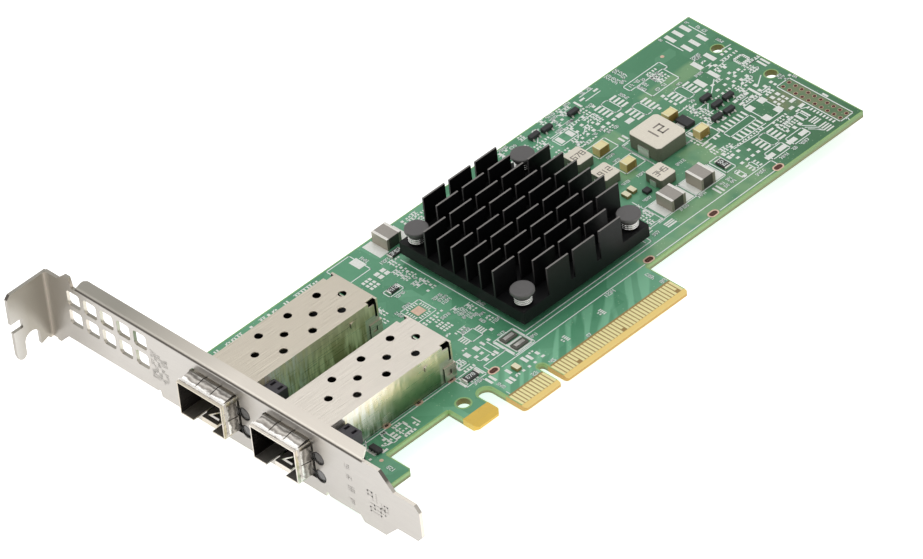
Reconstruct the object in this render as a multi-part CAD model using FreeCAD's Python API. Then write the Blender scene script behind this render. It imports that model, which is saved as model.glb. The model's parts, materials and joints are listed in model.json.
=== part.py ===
import FreeCAD, Part
import math
import os

os.makedirs("parts", exist_ok=True)
V = FreeCAD.Vector

# ---------------------------------------------------------------------------
# Network interface card: low-profile board carried in a full-height bracket.
# Frame in millimetres: the origin is on the board's mid-plane, at the edge of
# the contact tongue, in line with its keying notch. +X runs from the bracket
# to the far end of the board, +Y from the contacts up the board, +Z out of
# the component side.
# ---------------------------------------------------------------------------

# Board
BOARD_T = 1.57
TOP, BOT = BOARD_T / 2, -BOARD_T / 2
FACE_X = -57.75                 # outer face of the bracket
CARD_L = 167.65                 # bracket face to the far end of the board
SHEET = 0.9                     # bracket sheet
BOARD_X0 = FACE_X + SHEET + 0.25
BOARD_X1 = FACE_X + CARD_L
BOARD_H = 68.9                  # tongue edge to the far long edge
LOWER_Y, NEAR_Y = 13.2, 12.7    # long edge beyond the tongue and beside the bracket
LOBE_X1, LOBE_Y = -42.5, 4.8    # corner that hangs beside the bracket
TAB_X0, TAB_X1, TAB_Y, TAB_CUT = -23.6, -16.05, 3.8, 0.9
TAB_GOLD_Y = 8.05
TONGUE_X0, TONGUE_X1 = -12.15, 39.15
KEY_W, KEY_TOP = 1.9, 8.2
SLOT_TOP = 12.4                 # slot between the ground tab and the tongue
BEVEL_H, BEVEL_ANGLE = 1.3, 20.0
CORNER_CUT, KEY_CUT, END_CUT = 0.6, 0.4, 0.3
CONTACT_PITCH, CONTACT_W, CONTACT_T = 1.0, 0.7, 0.05
CONTACT_Y0, CONTACT_Y1 = 1.35, 5.5
FIRST_CONTACT, SECOND_FIRST = -11.5, 1.5
CONTACTS_BEFORE_KEY, CONTACTS_AFTER_KEY = 11, 38
SHORT_CONTACTS, SHORT_Y0 = (6.5, 20.5, 37.5), 2.4   # pins that mate last
ROUND_HOLES = ((105.5, 55.3, 1.5), (106.5, 39.2, 1.5), (-19.7, 11.9, 1.6))
OVAL_Y, OVAL_XS, OVAL_L, OVAL_W = 14.5, (-7.7, 41.3, 62.0, 83.1), 2.2, 1.2
HEADER_X, HEADER_Y, HEADER_PITCH, HEADER_R = 106.7, 33.6, 2.0, 0.42
THROUGH = 1.0                   # how far a cutter runs past a face
SMALL_SIDES = 10                # sides of small round shanks that carry no fit

# Bracket
BR_OVER_BOARD = 13.8
BR_TOP = TOP + BR_OVER_BOARD
BR_W, BR_L = 18.42, 120.02
BR_BOT = BR_TOP - BR_W
BR_Y1 = 105.9                   # outer face of the screw tab
TAIL_Y, TAIL_W = BR_Y1 - BR_L, 10.19
LIP_D, LIP_Y0, LIP_Y1 = 3.8, 2.9, 95.0
FLANGE_Z = BR_BOT + 0.9         # lower flange that carries the board
FLANGE_D, FLANGE_Y0, FLANGE_Y1 = 3.0, 16.5, 69.0
# Long edges of the face, from the tail to the head: Y, height over its nominal edge
TAPER_Y = -2.2
LOWER_EDGE = ((4.6, 0.0), (5.6, 1.5), (15.2, 1.5), (15.6, 2.3), (16.2, 2.3))
HEAD_LOWER_EDGE = ((69.3, 2.5), (69.9, 2.5), (70.2, 2.1), (99.6, 2.1), (102.6, -0.9))
HEAD_UPPER_EDGE = ((100.8, 0.0), (98.3, 2.1), (96.8, 2.1), (96.2, -0.6))
VENT_Y, VENT_Z, VENT_PITCH, VENT_W, VENT_CUT = 95.9, TOP + 9.9, 5.45, 4.15, 0.5
VENT_COLS, VENT_ROWS = 5, 2
SCREW_TAB_D, NOTCH_W, NOTCH_DX = 11.43, 4.42, 5.95
LIGHT_R, LIGHT_DZ, LIGHT_PITCH, LIGHT_RECESS = 1.75, 1.4, 5.08, 0.3
WINDOW_GAP, WINDOW_CUT = 0.2, 1.2
MOUNT_XY = ((-51.6, 63.0), (-51.6, 36.4))
EAR_R, STANDOFF_R, SHANK_R = 3.2, 2.6, 1.8
SCREW_R, SCREW_HEAD_R, SCREW_HEAD_T = 1.0, 1.9, 1.3

# Transceiver ports
PORT_YS = (50.2, 26.8)
PORT_W, WALL = 14.25, 0.35
NOSE_X, CAGE_X1 = -62.4, -14.5
CAGE_Z0, CAGE_Z1 = TOP + 1.0, TOP + 10.3
CAGE_FOOT = TOP + 0.15
WRAP_D, WRAP_T, WRAP_H, WRAP_EDGE, WRAP_HOLE = 3.2, 0.3, 3.8, 0.7, 1.4
LATCH_W, LATCH_SLIT, LATCH_L = 5.0, 0.6, 12.0
RIDGE = 0.65                    # height of the spring fingers over the cage
FINGER_T, FINGER_GAP = 0.15, 0.25
CAGE_VENT_R, CAGE_VENT_PITCH, CAGE_VENT_DY = 1.0, 8.93, 4.0
CAGE_VENT_MID_X, CAGE_VENT_SIDE_X = -18.4, -22.4
CAGE_PIN_XS = (-45.8, -35.8, -25.9, -15.9)
LANCE_X, LANCE_L, LANCE_H, LANCE_D = -23.2, 1.8, 1.3, 0.45
CONNECTOR_X0, CONNECTOR_L, CONNECTOR_W, CONNECTOR_H = -27.0, 9.6, 11.2, 7.2
CONNECTOR_SLOT_Z, CONNECTOR_SLOT_H, CONNECTOR_SLOT_W, CONNECTOR_SLOT_L = TOP + 3.6, 1.4, 9.2, 6.4
PORT_CONTACTS, PORT_CONTACT_PITCH = 10, 0.8
LIGHT_DY = -9.3                 # light pipes beside each port
HOLDER_X0, HOLDER_X1, HOLDER_H = -51.0, -46.8, 8.6

# Heatsink
HS_X, HS_Y, HS_W = 26.0, 38.2, 39.6
HS_BASE, HS_Z0, FIN_H, FIN_T = 3.3, TOP + 1.9, 7.5, 0.45
FIN_ROWS, FIN_COLS, CROSS_CUT, SHORT_ROWS = 10, 5, 1.4, 2
PIN_INSET, PIN_R, PIN_HEAD_R, PIN_HEAD_T = 3.0, 1.1, 2.85, 0.9
PIN_PITCH = HS_W - 2 * PIN_INSET
PIN_COLLAR_R, PIN_COLLAR_T = 2.3, 0.9
HEAD_OVER_BASE = 3.9
SPRING_R, SPRING_WIRE, SPRING_TURNS, SPRING_STEPS = 1.95, 0.4, 2.5, 10
CLIP_R, CLIP_T = 2.2, 1.2
CHIP_W, CHIP_T = 25.0, 1.6

# Parts soldered to the board: centre x, y, then length along X, width, height
LARGE_COIL = ((71.75, 41.25, 9.3, 10.1, 4.1),)
COIL_W, COIL_D, COIL_H, COIL_CUT = 4.9, 5.4, 2.6, 0.08     # cut is a share of the length
SMALL_COILS = ((63.1, 31.95), (55.45, 50.6), (55.2, 41.8))
LARGE_CAPS = ((68.3, 24.5), (58.7, 24.4), (8.6, 65.0))
LARGE_CAP_SIZE = (4.5, 5.2, 3.2, 0.8)       # length, width, height, end strip
TAN_CAPS = ((61.7, 49.6), (61.65, 40.9), (80.1, 45.7), (80.5, 36.1))
TAN_CAP_SIZE = (3.2, 2.4, 2.3, 0.4)
TRANSISTORS = ((90.3, 44.3), (94.0, 40.8), (90.3, 40.7), (90.5, 37.05), (87.0, 37.4),
               (67.6, 64.5), (59.6, 65.0), (55.9, 65.4))
# A chip resistor lies along X, or along Y where its last value is True
RESISTORS = ((75.8, 24.85, 3.7, 1.9, True), (-12.6, 16.8, 4.2, 1.9, False),
             (-2.5, 51.7, 3.2, 1.6, False), (6.7, 60.6, 3.6, 1.7, False))
RESISTOR_H, RESISTOR_END = 0.6, 0.4
SHUNTS = ((2.2, 19.75), (2.2, 16.3))
CHIP_CAPS = ((56.1, 34.3), (54.0, 34.0), (-4.1, 11.0))
DIODE, DRIVER_CHIP = (81.1, 41.9), (58.1, 31.5)
DIODE_SIZE, DRIVER_SIZE = (2.6, 4.0, 1.1), (1.7, 1.7, 0.8)
TRANSISTOR_SIZE, CHIP_CAP_SIZE = (2.9, 1.4, 1.1), (1.4, 2.1, 0.9)
SIX_LEAD, SIX_LEAD_SIZE, SIX_LEAD_PITCH = (-43.2, 15.4), (1.6, 3.0, 1.1), 0.95
LEAD_W, LEAD_L, LEAD_H = 0.4, 0.6, 0.45
SHUNT_SIZE, SHUNT_PLATE = (3.9, 2.0, 0.5), (2.8, 0.9, 0.12)


# ------------------------------------------------------------ shape helpers
def box(x0, x1, y0, y1, z0, z1):
    return Part.makeBox(x1 - x0, y1 - y0, z1 - z0, V(x0, y0, z0))


def block(cx, cy, w, d, z0, z1):
    return box(cx - w / 2, cx + w / 2, cy - d / 2, cy + d / 2, z0, z1)


def cyl(x, y, r, z0, z1):
    return Part.makeCylinder(r, z1 - z0, V(x, y, z0))


def prism(points, direction):
    return Part.Face(Part.makePolygon(points + [points[0]])).extrude(direction)


def plate_xy(points, z0, z1):
    return prism([V(x, y, z0) for x, y in points], V(0, 0, z1 - z0))


def panel_yz(points, x0, x1):
    return prism([V(x0, y, z) for y, z in points], V(x1 - x0, 0, 0))


def ngon(x, y, r, sides, z0, z1):
    """Many-sided plug for the small holes and pins that carry no fit."""
    turn = 2 * math.pi / sides
    points = [(x + r * math.cos(turn * (i + 0.5)), y + r * math.sin(turn * (i + 0.5)))
              for i in range(sides)]
    return plate_xy(points, z0, z1)


def clipped(cx, cy, w, d, c):
    """Corner points of a rectangle with its four corners cut at 45 degrees."""
    a, b = w / 2, d / 2
    return [(cx - a + c, cy - b), (cx + a - c, cy - b), (cx + a, cy - b + c), (cx + a, cy + b - c),
            (cx + a - c, cy + b), (cx - a + c, cy + b), (cx - a, cy + b - c), (cx - a, cy - b + c)]


def slot_xy(cx, cy, length, width, z0, z1):
    """Stadium-shaped solid along X."""
    r, h = width / 2, (length - width) / 2
    ends = [cyl(cx - h, cy, r, z0, z1), cyl(cx + h, cy, r, z0, z1)]
    return block(cx, cy, 2 * h, width, z0, z1).fuse(ends).removeSplitter()


def group(solids):
    return Part.makeCompound(list(solids))


def export(name, shape):
    shape.exportStep("parts/%s.step" % name)


# ------------------------------------------------------------------ board
def contact_xs():
    before = [FIRST_CONTACT + CONTACT_PITCH * i for i in range(CONTACTS_BEFORE_KEY)]
    return before + [SECOND_FIRST + CONTACT_PITCH * i for i in range(CONTACTS_AFTER_KEY)]


def cage_pin_points(yc):
    return [(x, yc + s * (PORT_W - WALL) / 2) for s in (-1, 1) for x in CAGE_PIN_XS]


def pin_points():
    h = PIN_PITCH / 2
    return [(HS_X + sx * h, HS_Y + sy * h) for sx in (-1, 1) for sy in (-1, 1)]


def board_outline():
    c, e, k = CORNER_CUT, END_CUT, TAB_CUT
    slot_y = SLOT_TOP - (TONGUE_X0 - TAB_X1) / 2
    lobe = [(BOARD_X0, LOBE_Y), (LOBE_X1 - c, LOBE_Y), (LOBE_X1, LOBE_Y + c), (LOBE_X1, NEAR_Y)]
    tab = [(TAB_X0, NEAR_Y), (TAB_X0, TAB_Y + k), (TAB_X0 + k, TAB_Y), (TAB_X1 - k, TAB_Y),
           (TAB_X1, TAB_Y + k), (TAB_X1, slot_y)]
    tongue = [(TONGUE_X0, slot_y), (TONGUE_X0, c), (TONGUE_X0 + c, 0), (TONGUE_X1 - c, 0),
              (TONGUE_X1, c), (TONGUE_X1, LOWER_Y)]
    rest = [(BOARD_X1 - e, LOWER_Y), (BOARD_X1, LOWER_Y + e), (BOARD_X1, BOARD_H - e),
            (BOARD_X1 - e, BOARD_H), (BOARD_X0, BOARD_H)]
    return lobe + tab + tongue + rest


def lead_in(x0, x1, edge_y):
    """Wedges taken off both faces of an edge that goes into a socket."""
    slope, low, high = math.tan(math.radians(BEVEL_ANGLE)), edge_y - 0.2, edge_y + BEVEL_H
    out = []
    for z, side in ((TOP, 1), (BOT, -1)):
        wedge = [V(x0 - 0.5, high, z), V(x0 - 0.5, low, z - side * (high - low) * slope),
                 V(x0 - 0.5, low, z + side), V(x0 - 0.5, high, z + side)]
        out.append(prism(wedge, V(x1 - x0 + 1, 0, 0)))
    return out


def board():
    z0, z1, k = BOT - THROUGH, TOP + THROUGH, KEY_W / 2
    slot_r = (TONGUE_X0 - TAB_X1) / 2
    mouth = [(-k - KEY_CUT - 0.1, -0.1), (k + KEY_CUT + 0.1, -0.1), (k, KEY_CUT), (-k, KEY_CUT)]
    cuts = [cyl((TAB_X1 + TONGUE_X0) / 2, SLOT_TOP - slot_r, slot_r, z0, z1),
            box(-k, k, -1, KEY_TOP - k, z0, z1), cyl(0, KEY_TOP - k, k, z0, z1),
            plate_xy(mouth, z0, z1)]
    cuts += [cyl(x, y, r, z0, z1) for x, y, r in ROUND_HOLES]
    cuts += [slot_xy(x, OVAL_Y, OVAL_L, OVAL_W, z0, z1) for x in OVAL_XS]
    cuts += [ngon(HEADER_X - HEADER_PITCH * i, HEADER_Y - HEADER_PITCH * j, HEADER_R, 6, z0, z1)
             for i in range(2) for j in range(10)]
    cuts += [block(x, y, 1.6, 0.9, z0, z1) for yc in PORT_YS for x, y in cage_pin_points(yc)]
    cuts += [ngon(x, y, PIN_R + 0.2, SMALL_SIDES, z0, z1) for x, y in pin_points()]
    cuts += [ngon(x, y, SCREW_R + 0.2, SMALL_SIDES, z0, z1) for x, y in MOUNT_XY]
    cuts += lead_in(TONGUE_X0, TONGUE_X1, 0.0) + lead_in(TAB_X0, TAB_X1, TAB_Y)
    return plate_xy(board_outline(), BOT, TOP).cut(cuts).removeSplitter()


def contacts(side):
    z0, z1 = (TOP, TOP + CONTACT_T) if side > 0 else (BOT - CONTACT_T, BOT)
    return group(box(x - CONTACT_W / 2, x + CONTACT_W / 2, SHORT_Y0 if x in SHORT_CONTACTS
                     else CONTACT_Y0, CONTACT_Y1, z0, z1) for x in contact_xs())


def ground_plating(board_solid):
    """Gold sleeve over the ground tab, following its clipped corners and its lead-in."""
    t = CONTACT_T
    cx, w, d = (TAB_X0 + TAB_X1) / 2, TAB_X1 - TAB_X0 + 2 * t, 2 * (TAB_GOLD_Y - TAB_Y + t)
    sleeve = plate_xy(clipped(cx, TAB_GOLD_Y, w, d, TAB_CUT), BOT - t, TOP + t)
    upper = box(TAB_X0 - 1, TAB_X1 + 1, TAB_GOLD_Y, LOWER_Y, BOT - 1, TOP + 1)
    wedges = [w.translated(V(0, 0, side * t)) for w, side in
              zip(lead_in(TAB_X0, TAB_X1, TAB_Y), (1, -1))]
    return sleeve.cut([upper, board_solid] + wedges)


# ---------------------------------------------------------------- bracket
def bracket_face():
    """Flat face of the bracket: tail, stepped long edges and the wide head."""
    t, z_lo = SHEET, BR_BOT
    tail_z0 = (BR_TOP + BR_BOT - TAIL_W) / 2
    tail_z1 = tail_z0 + TAIL_W
    taper_y = TAPER_Y - (BR_TOP - tail_z1)
    lower = [(TAIL_Y, tail_z0 + 1.6), (TAIL_Y + 1.4, tail_z0), (taper_y, tail_z0), (TAPER_Y, z_lo)]
    lower += [(y, z_lo + dz) for y, dz in LOWER_EDGE]
    lower += [(FLANGE_Y0, FLANGE_Z), (FLANGE_Y1, FLANGE_Z)]
    lower += [(y, z_lo + dz) for y, dz in HEAD_LOWER_EDGE]
    upper = [(BR_Y1 - t, z_lo - 0.9), (BR_Y1 - t, BR_TOP)]
    upper += [(y, BR_TOP + dz) for y, dz in HEAD_UPPER_EDGE]
    upper += [(LIP_Y1, BR_TOP - 0.6), (LIP_Y1, BR_TOP - 0.1), (LIP_Y0, BR_TOP - 0.1),
              (LIP_Y0 - 0.6, BR_TOP), (TAPER_Y, BR_TOP), (taper_y, tail_z1),
              (TAIL_Y + 1.4, tail_z1), (TAIL_Y, tail_z1 - 1.6)]
    return panel_yz(lower + upper, FACE_X, FACE_X + t)


def top_lip():
    x0, t = FACE_X, SHEET
    points = [(x0, LIP_Y0), (x0 + LIP_D, LIP_Y0 + 2.6), (x0 + LIP_D, LIP_Y1 - 0.4),
              (x0 + LIP_D - 0.7, LIP_Y1 + 0.4), (x0 + 2.2, LIP_Y1 + 0.4), (x0 + t, LIP_Y1), (x0, LIP_Y1)]
    return plate_xy(points, BR_TOP - t, BR_TOP)


def lip_fold_cutter():
    """What the rounded fold leaves outside its bend."""
    x0, t = FACE_X, SHEET
    corner = box(x0 - 1, x0 + t, LIP_Y0 - 0.02, LIP_Y1 + 0.02, BR_TOP - t, BR_TOP + 1)
    bend = Part.makeCylinder(t, LIP_Y1 - LIP_Y0 + 2, V(x0 + t, LIP_Y0 - 1, BR_TOP - t), V(0, 1, 0))
    return corner.cut(bend)


def board_flange():
    z1 = FLANGE_Z + SHEET
    s = box(FACE_X + 0.02, FACE_X + FLANGE_D, FLANGE_Y0, FLANGE_Y1, FLANGE_Z, z1)
    for x, y in MOUNT_XY:
        ear = box(FACE_X + FLANGE_D - 0.5, x, y - EAR_R, y + EAR_R, FLANGE_Z, z1)
        s = s.fuse([ear, cyl(x, y, EAR_R, FLANGE_Z, z1)])
    return s.cut([ngon(x, y, SHANK_R, SMALL_SIDES, FLANGE_Z - 1, z1 + 1) for x, y in MOUNT_XY])


def screw_tab():
    """Top tab bent outwards, with the notch for the case screw."""
    x0, t, z0, z1 = FACE_X, SHEET, BR_BOT - 0.3, BR_TOP - 0.4
    tip = x0 - SCREW_TAB_D
    points = [(x0 + t, z1), (tip + 1.0, z1), (tip, z1 - 1.0), (tip, 5.9), (tip + 0.4, 4.8),
              (tip + 0.5, z0 + 1.0), (tip + 0.9, z0 - 0.4), (tip + 1.6, z0 - 0.9), (tip + 2.4, z0 - 0.9),
              (tip + 3.1, z0 - 0.4), (tip + 3.2, z0), (x0 - 3.4, z0), (x0 - 1.6, z0 + 0.6),
              (x0 - 0.6, BR_BOT - 0.9), (x0 + t, BR_BOT - 0.9)]
    s = prism([V(x, BR_Y1 - t, z) for x, z in points], V(0, t, 0))
    nx, nz, r = x0 - NOTCH_DX, TOP + 0.15 - NOTCH_W / 2, NOTCH_W / 2
    y0, y1 = BR_Y1 - t - THROUGH, BR_Y1 + THROUGH
    notch = [box(nx - r, nx + r, y0, y1, z0 - 3, nz),
             Part.makeCylinder(r, y1 - y0, V(nx, y0, nz), V(0, 1, 0))]
    side = box(tip - 1, tip + 3.3, y0, y1, TOP + 2.6, TOP + 5.3)
    return s.cut(notch + [side])


def bracket_openings():
    x0, x1 = FACE_X - THROUGH, FACE_X + SHEET + THROUGH
    out = []
    for i in range(VENT_COLS):
        for j in range(VENT_ROWS):
            y, z = VENT_Y - VENT_PITCH * i, VENT_Z - VENT_PITCH * j
            out.append(panel_yz(clipped(y, z, VENT_W, VENT_W, VENT_CUT), x0, x1))
    for yc in PORT_YS:
        h, c = PORT_W / 2 + RIDGE + WINDOW_GAP, WINDOW_CUT
        z0, z1 = CAGE_Z0 - 0.9, CAGE_Z1 + RIDGE + WINDOW_GAP
        window = [(yc - h, z0), (yc + h, z0), (yc + h, z1 - c), (yc + h - c, z1),
                  (yc - h + c, z1), (yc - h, z1 - c)]
        out.append(panel_yz(window, x0, x1))
        for k in range(2):
            at = V(x0, yc + LIGHT_DY, TOP + LIGHT_DZ + LIGHT_PITCH * k)
            out.append(Part.makeCylinder(LIGHT_R, x1 - x0, at, V(1, 0, 0)))
    return out


def bracket():
    s = bracket_face().fuse(top_lip()).cut(lip_fold_cutter())
    s = s.fuse([board_flange(), screw_tab()])
    relief = box(FACE_X - 1.0, FACE_X + SHEET, BR_Y1 - 2.2, BR_Y1 + 1, BR_BOT - 2, BR_BOT - 0.5)
    return s.cut(bracket_openings() + [relief]).removeSplitter()


def standoffs():
    """Hexagonal spacers staked into the flange, bored for the screws."""
    out = []
    for x, y in MOUNT_XY:
        shank = ngon(x, y, SHANK_R, SMALL_SIDES, FLANGE_Z, FLANGE_Z + SHEET)
        s = shank.fuse(ngon(x, y, STANDOFF_R, 6, FLANGE_Z + SHEET, BOT))
        out.append(s.cut(ngon(x, y, SCREW_R, SMALL_SIDES, FLANGE_Z - 1, BOT + 1)))
    return group(out)


def mount_screws():
    """Cross-headed screws, driven through the board into the standoffs."""
    out = []
    for x, y in MOUNT_XY:
        s = ngon(x, y, SCREW_R, SMALL_SIDES, FLANGE_Z + 0.3, TOP + 0.2)
        s = s.fuse(ngon(x, y, SCREW_HEAD_R, 2 * SMALL_SIDES, TOP, TOP + SCREW_HEAD_T))
        cross = [block(x, y, 2.2, 0.5, TOP + 0.7, TOP + 2), block(x, y, 0.5, 2.2, TOP + 0.7, TOP + 2)]
        out.append(s.cut(cross))
    return group(out)


# ------------------------------------------------------------------ ports
def cage_vents(yc):
    middle = [(CAGE_VENT_MID_X - CAGE_VENT_PITCH * i, yc) for i in range(4)]
    sides = [(CAGE_VENT_SIDE_X - CAGE_VENT_PITCH * i, yc + s * CAGE_VENT_DY)
             for i in range(3) for s in (-1, 1)]
    return [ngon(x, y, CAGE_VENT_R, 12, CAGE_Z1 - 1, CAGE_Z1 + 1) for x, y in middle + sides]


def cage_shell(yc):
    """Folded top, sides and rear of one port, with its solder pins."""
    y0, y1, w = yc - PORT_W / 2, yc + PORT_W / 2, WALL
    s = box(NOSE_X, CAGE_X1, y0, y1, CAGE_Z0, CAGE_Z1)
    s = s.fuse(box(BOARD_X0 + 0.6, CAGE_X1, y0, y1, CAGE_FOOT, CAGE_Z0 + 1))
    s = s.cut([box(NOSE_X - 1, CAGE_X1 - w, y0 + w, y1 - w, CAGE_Z0 - 1, CAGE_Z1 - w),
               box(NOSE_X, CAGE_X1 - w, y0 + w, y1 - w, CAGE_FOOT - 1, CAGE_Z0 + 1)])
    reliefs = []
    for y in (y0, y1):
        reliefs.append(box(CAGE_X1 - 2.8, CAGE_X1 - 0.6, y - 1.0, y + 1.0, CAGE_Z1 - 1.2, CAGE_Z1 + 1))
        reliefs.append(box(CAGE_X1 - 1.1, CAGE_X1 - 0.5, y - 1.0, y + 1.0, CAGE_Z1 - 5.0, CAGE_Z1 - 1))
    rear = box(CAGE_X1 - 1, CAGE_X1 + 1, y0 + 1.5, y1 - 1.5, CAGE_FOOT - 1, CAGE_Z0 + 4.5)
    s = s.cut(cage_vents(yc) + reliefs + [rear])
    pins = [block(x, y, 0.9, w, BOT - 0.9, CAGE_Z0 + 0.5) for x, y in cage_pin_points(yc)]
    return s.fuse(pins + [cage_lance(yc, side) for side in (-1, 1)]).removeSplitter()


def cage_lance(yc, side):
    """Pressed barb in a side wall that locks the floor in."""
    y, z, x = yc + side * PORT_W / 2, CAGE_Z1 - 1.8, LANCE_X
    wedge = [V(x, y - side * 0.1, z), V(x + LANCE_L, y - side * 0.1, z), V(x, y + side * LANCE_D, z)]
    return prism(wedge, V(0, 0, -LANCE_H))


def cage_floor(yc):
    """Folded floor with the latch tongue at the nose and two rear ears."""
    inner, z0, z1 = PORT_W / 2 - WALL, CAGE_Z0, CAGE_Z0 + WALL
    half, slit = LATCH_W / 2, LATCH_SLIT
    s = box(NOSE_X, CAGE_X1 - WALL - 0.05, yc - inner, yc + inner, z0, z1)
    latch_eye = plate_xy([(NOSE_X + 3.2, yc - 1.7), (NOSE_X + 3.2, yc + 1.7), (NOSE_X + 5.9, yc)],
                         z0 - 1, z1 + 1)
    s = s.cut([box(NOSE_X - 1, NOSE_X + 2.0, yc - half - slit, yc + half + slit, z0 - 1, z1 + 1),
               box(NOSE_X + 1, NOSE_X + LATCH_L, yc - half - slit, yc - half, z0 - 1, z1 + 1),
               box(NOSE_X + 1, NOSE_X + LATCH_L, yc + half, yc + half + slit, z0 - 1, z1 + 1),
               latch_eye])
    s = s.fuse(box(NOSE_X + 2.0, NOSE_X + 2.0 + WALL, yc - half, yc + half, z0 - 1.0, z1))
    return s.fuse([floor_joggle(yc), rear_wrap(yc)]).removeSplitter()


def floor_joggle(yc):
    return box(CAGE_X1 - 1, CAGE_X1 + 0.1, yc - 5.4, yc + 5.4, CAGE_Z0, CAGE_Z0 + WALL)


def rear_wrap(yc):
    """Floor sheet turned up behind the cage and round both sides."""
    gap, t, z0, z1 = 0.02, WRAP_T, TOP + 0.5, TOP + 0.5 + WRAP_H
    half, x0 = PORT_W / 2 + gap, CAGE_X1 - WRAP_D
    outer = box(x0, CAGE_X1 + 0.05 + t, yc - half - t, yc + half + t, z0, z1)
    inner = box(x0 - 1, CAGE_X1 + 0.05, yc - half, yc + half, z0 - 1, z1 + 1)
    dimples = box(x0 + WRAP_EDGE, x0 + WRAP_EDGE + WRAP_HOLE, yc - half - 1, yc + half + 1,
                  z0 + 1.4, z0 + 1.4 + WRAP_HOLE)
    return outer.cut([inner, dimples])


def finger(low, high, seat, side):
    """One spring finger: a bowed strip running back from the nose, standing off the cage."""
    front, crest, tip, t = NOSE_X + 0.9, NOSE_X + 3.8, NOSE_X + 6.2, FINGER_T
    profile = [(front, 0.03), (front + 0.5, 0.03), (crest, RIDGE - t), (tip, 0.05), (tip, 0.05 + t),
               (crest, RIDGE), (front + 0.5, 0.03 + t), (front, 0.03 + t)]
    if side == "top":
        return prism([V(x, low, seat + h) for x, h in profile], V(0, high - low, 0))
    return prism([V(x, seat + side * h, low) for x, h in profile], V(0, 0, high - low))


def springs(yc):
    half, z0, z1, gap, t = PORT_W / 2, CAGE_Z0, CAGE_Z1, FINGER_GAP, FINGER_T
    out, w = [], (PORT_W - 1.2) / 3
    for i in range(3):
        low = yc - half + 0.35 + i * (w + gap)
        out.append(finger(low, low + w, z1, "top"))
    h = (z1 - z0 - 1.6) / 2
    for side in (-1, 1):
        for j in range(2):
            low = z0 + 0.6 + j * (h + gap)
            out.append(finger(low, low + h, yc + side * half, side))
    band = box(NOSE_X + 0.7, NOSE_X + 1.3, yc - half - t, yc + half + t, z0 + 0.4, z1 + t)
    bore = box(NOSE_X, NOSE_X + 3, yc - half - 0.01, yc + half + 0.01, z0 - 1, z1 + 0.01)
    return band.cut(bore).fuse(out).removeSplitter()


def connector(yc):
    """Card-edge receptacle at the back of the port."""
    x0, w, slot_w = CONNECTOR_X0, CONNECTOR_W / 2, CONNECTOR_SLOT_W / 2
    z0, z1 = CONNECTOR_SLOT_Z, CONNECTOR_SLOT_Z + CONNECTOR_SLOT_H
    s = box(x0, x0 + CONNECTOR_L, yc - w, yc + w, CAGE_Z0 + WALL + 0.05, TOP + CONNECTOR_H)
    slot = box(x0 - 1, x0 + CONNECTOR_SLOT_L, yc - slot_w, yc + slot_w, z0, z1)
    mouth = box(x0 - 1, x0 + 1.2, yc - slot_w - 0.4, yc + slot_w + 0.4, z0 - 0.4, z1 + 0.4)
    return s.cut([slot, mouth])


def connector_contacts(yc):
    x, first = CONNECTOR_X0 + 3.8, yc - PORT_CONTACT_PITCH * (PORT_CONTACTS - 1) / 2
    z0, z1, t = CONNECTOR_SLOT_Z, CONNECTOR_SLOT_Z + CONNECTOR_SLOT_H, 0.15
    return group(block(x, first + PORT_CONTACT_PITCH * i, 3.6, 0.3, z, z + t)
                 for i in range(PORT_CONTACTS) for z in (z0, z1 - t))


def light_holder(yc):
    y, x0, x1 = yc + LIGHT_DY, HOLDER_X0, HOLDER_X1
    s = box(x0, x1, y - 2.7, y + 1.75, TOP, TOP + HOLDER_H)
    cuts = [box(x1 - 2.0, x1 - 0.5, y + d - 0.35, y + d + 0.35, TOP + 7.6, TOP + 9)
            for d in (-1.55, 0.75)]
    return s.cut(cuts + [box(x1 - 1.2, x1 + 1, y - 3.5, y - 1.7, TOP + 1.0, TOP + 5.0)])


def light_pipes(yc):
    """Two clear rods from the holder to the bracket face; the lower one rests on the board."""
    out = []
    for k in range(2):
        at = V(FACE_X + LIGHT_RECESS, yc + LIGHT_DY, TOP + LIGHT_DZ + LIGHT_PITCH * k)
        rod = Part.makeCylinder(LIGHT_R - 0.15, HOLDER_X0 - at.x, at, V(1, 0, 0))
        out.append(rod.cut(box(at.x - 1, HOLDER_X0 + 1, at.y - 5, at.y + 5, BOT, TOP + 0.02)))
    return group(out)


# --------------------------------------------------------------- heatsink
def heatsink():
    x0, y0, z1 = HS_X - HS_W / 2, HS_Y - HS_W / 2, HS_Z0 + HS_BASE
    seg = (HS_W - (FIN_COLS - 1) * CROSS_CUT) / FIN_COLS
    pitch = (HS_W - FIN_T) / (FIN_ROWS - 1)
    fins = []
    for row in range(FIN_ROWS):
        short = min(row, FIN_ROWS - 1 - row) < SHORT_ROWS
        for col in range(1, FIN_COLS - 1) if short else range(FIN_COLS):
            x, y = x0 + col * (seg + CROSS_CUT), y0 + row * pitch
            fins.append(box(x, x + seg, y, y + FIN_T, z1 - 0.3, z1 + FIN_H))
    base = box(x0, x0 + HS_W, y0, y0 + HS_W, HS_Z0, z1)
    holes = [ngon(x, y, PIN_R + 0.3, SMALL_SIDES, HS_Z0 - 1, z1 + 1) for x, y in pin_points()]
    return base.fuse(fins).cut(holes).removeSplitter()


def heatsink_pins():
    """Push pins: a flat head, a narrower collar for the spring and the shank."""
    z1 = HS_Z0 + HS_BASE + HEAD_OVER_BASE
    z_rim, z_seat, out = z1 - PIN_HEAD_T, z1 - PIN_HEAD_T - PIN_COLLAR_T, []
    for x, y in pin_points():
        collar = ngon(x, y, PIN_COLLAR_R, SMALL_SIDES, z_seat, z_rim + 0.1)
        shank = ngon(x, y, PIN_R, SMALL_SIDES, BOT - CLIP_T - 0.4, z_seat + 0.1)
        out.append(cyl(x, y, PIN_HEAD_R, z_rim, z1).fuse([collar, shank]).removeSplitter())
    return group(out)


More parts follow.
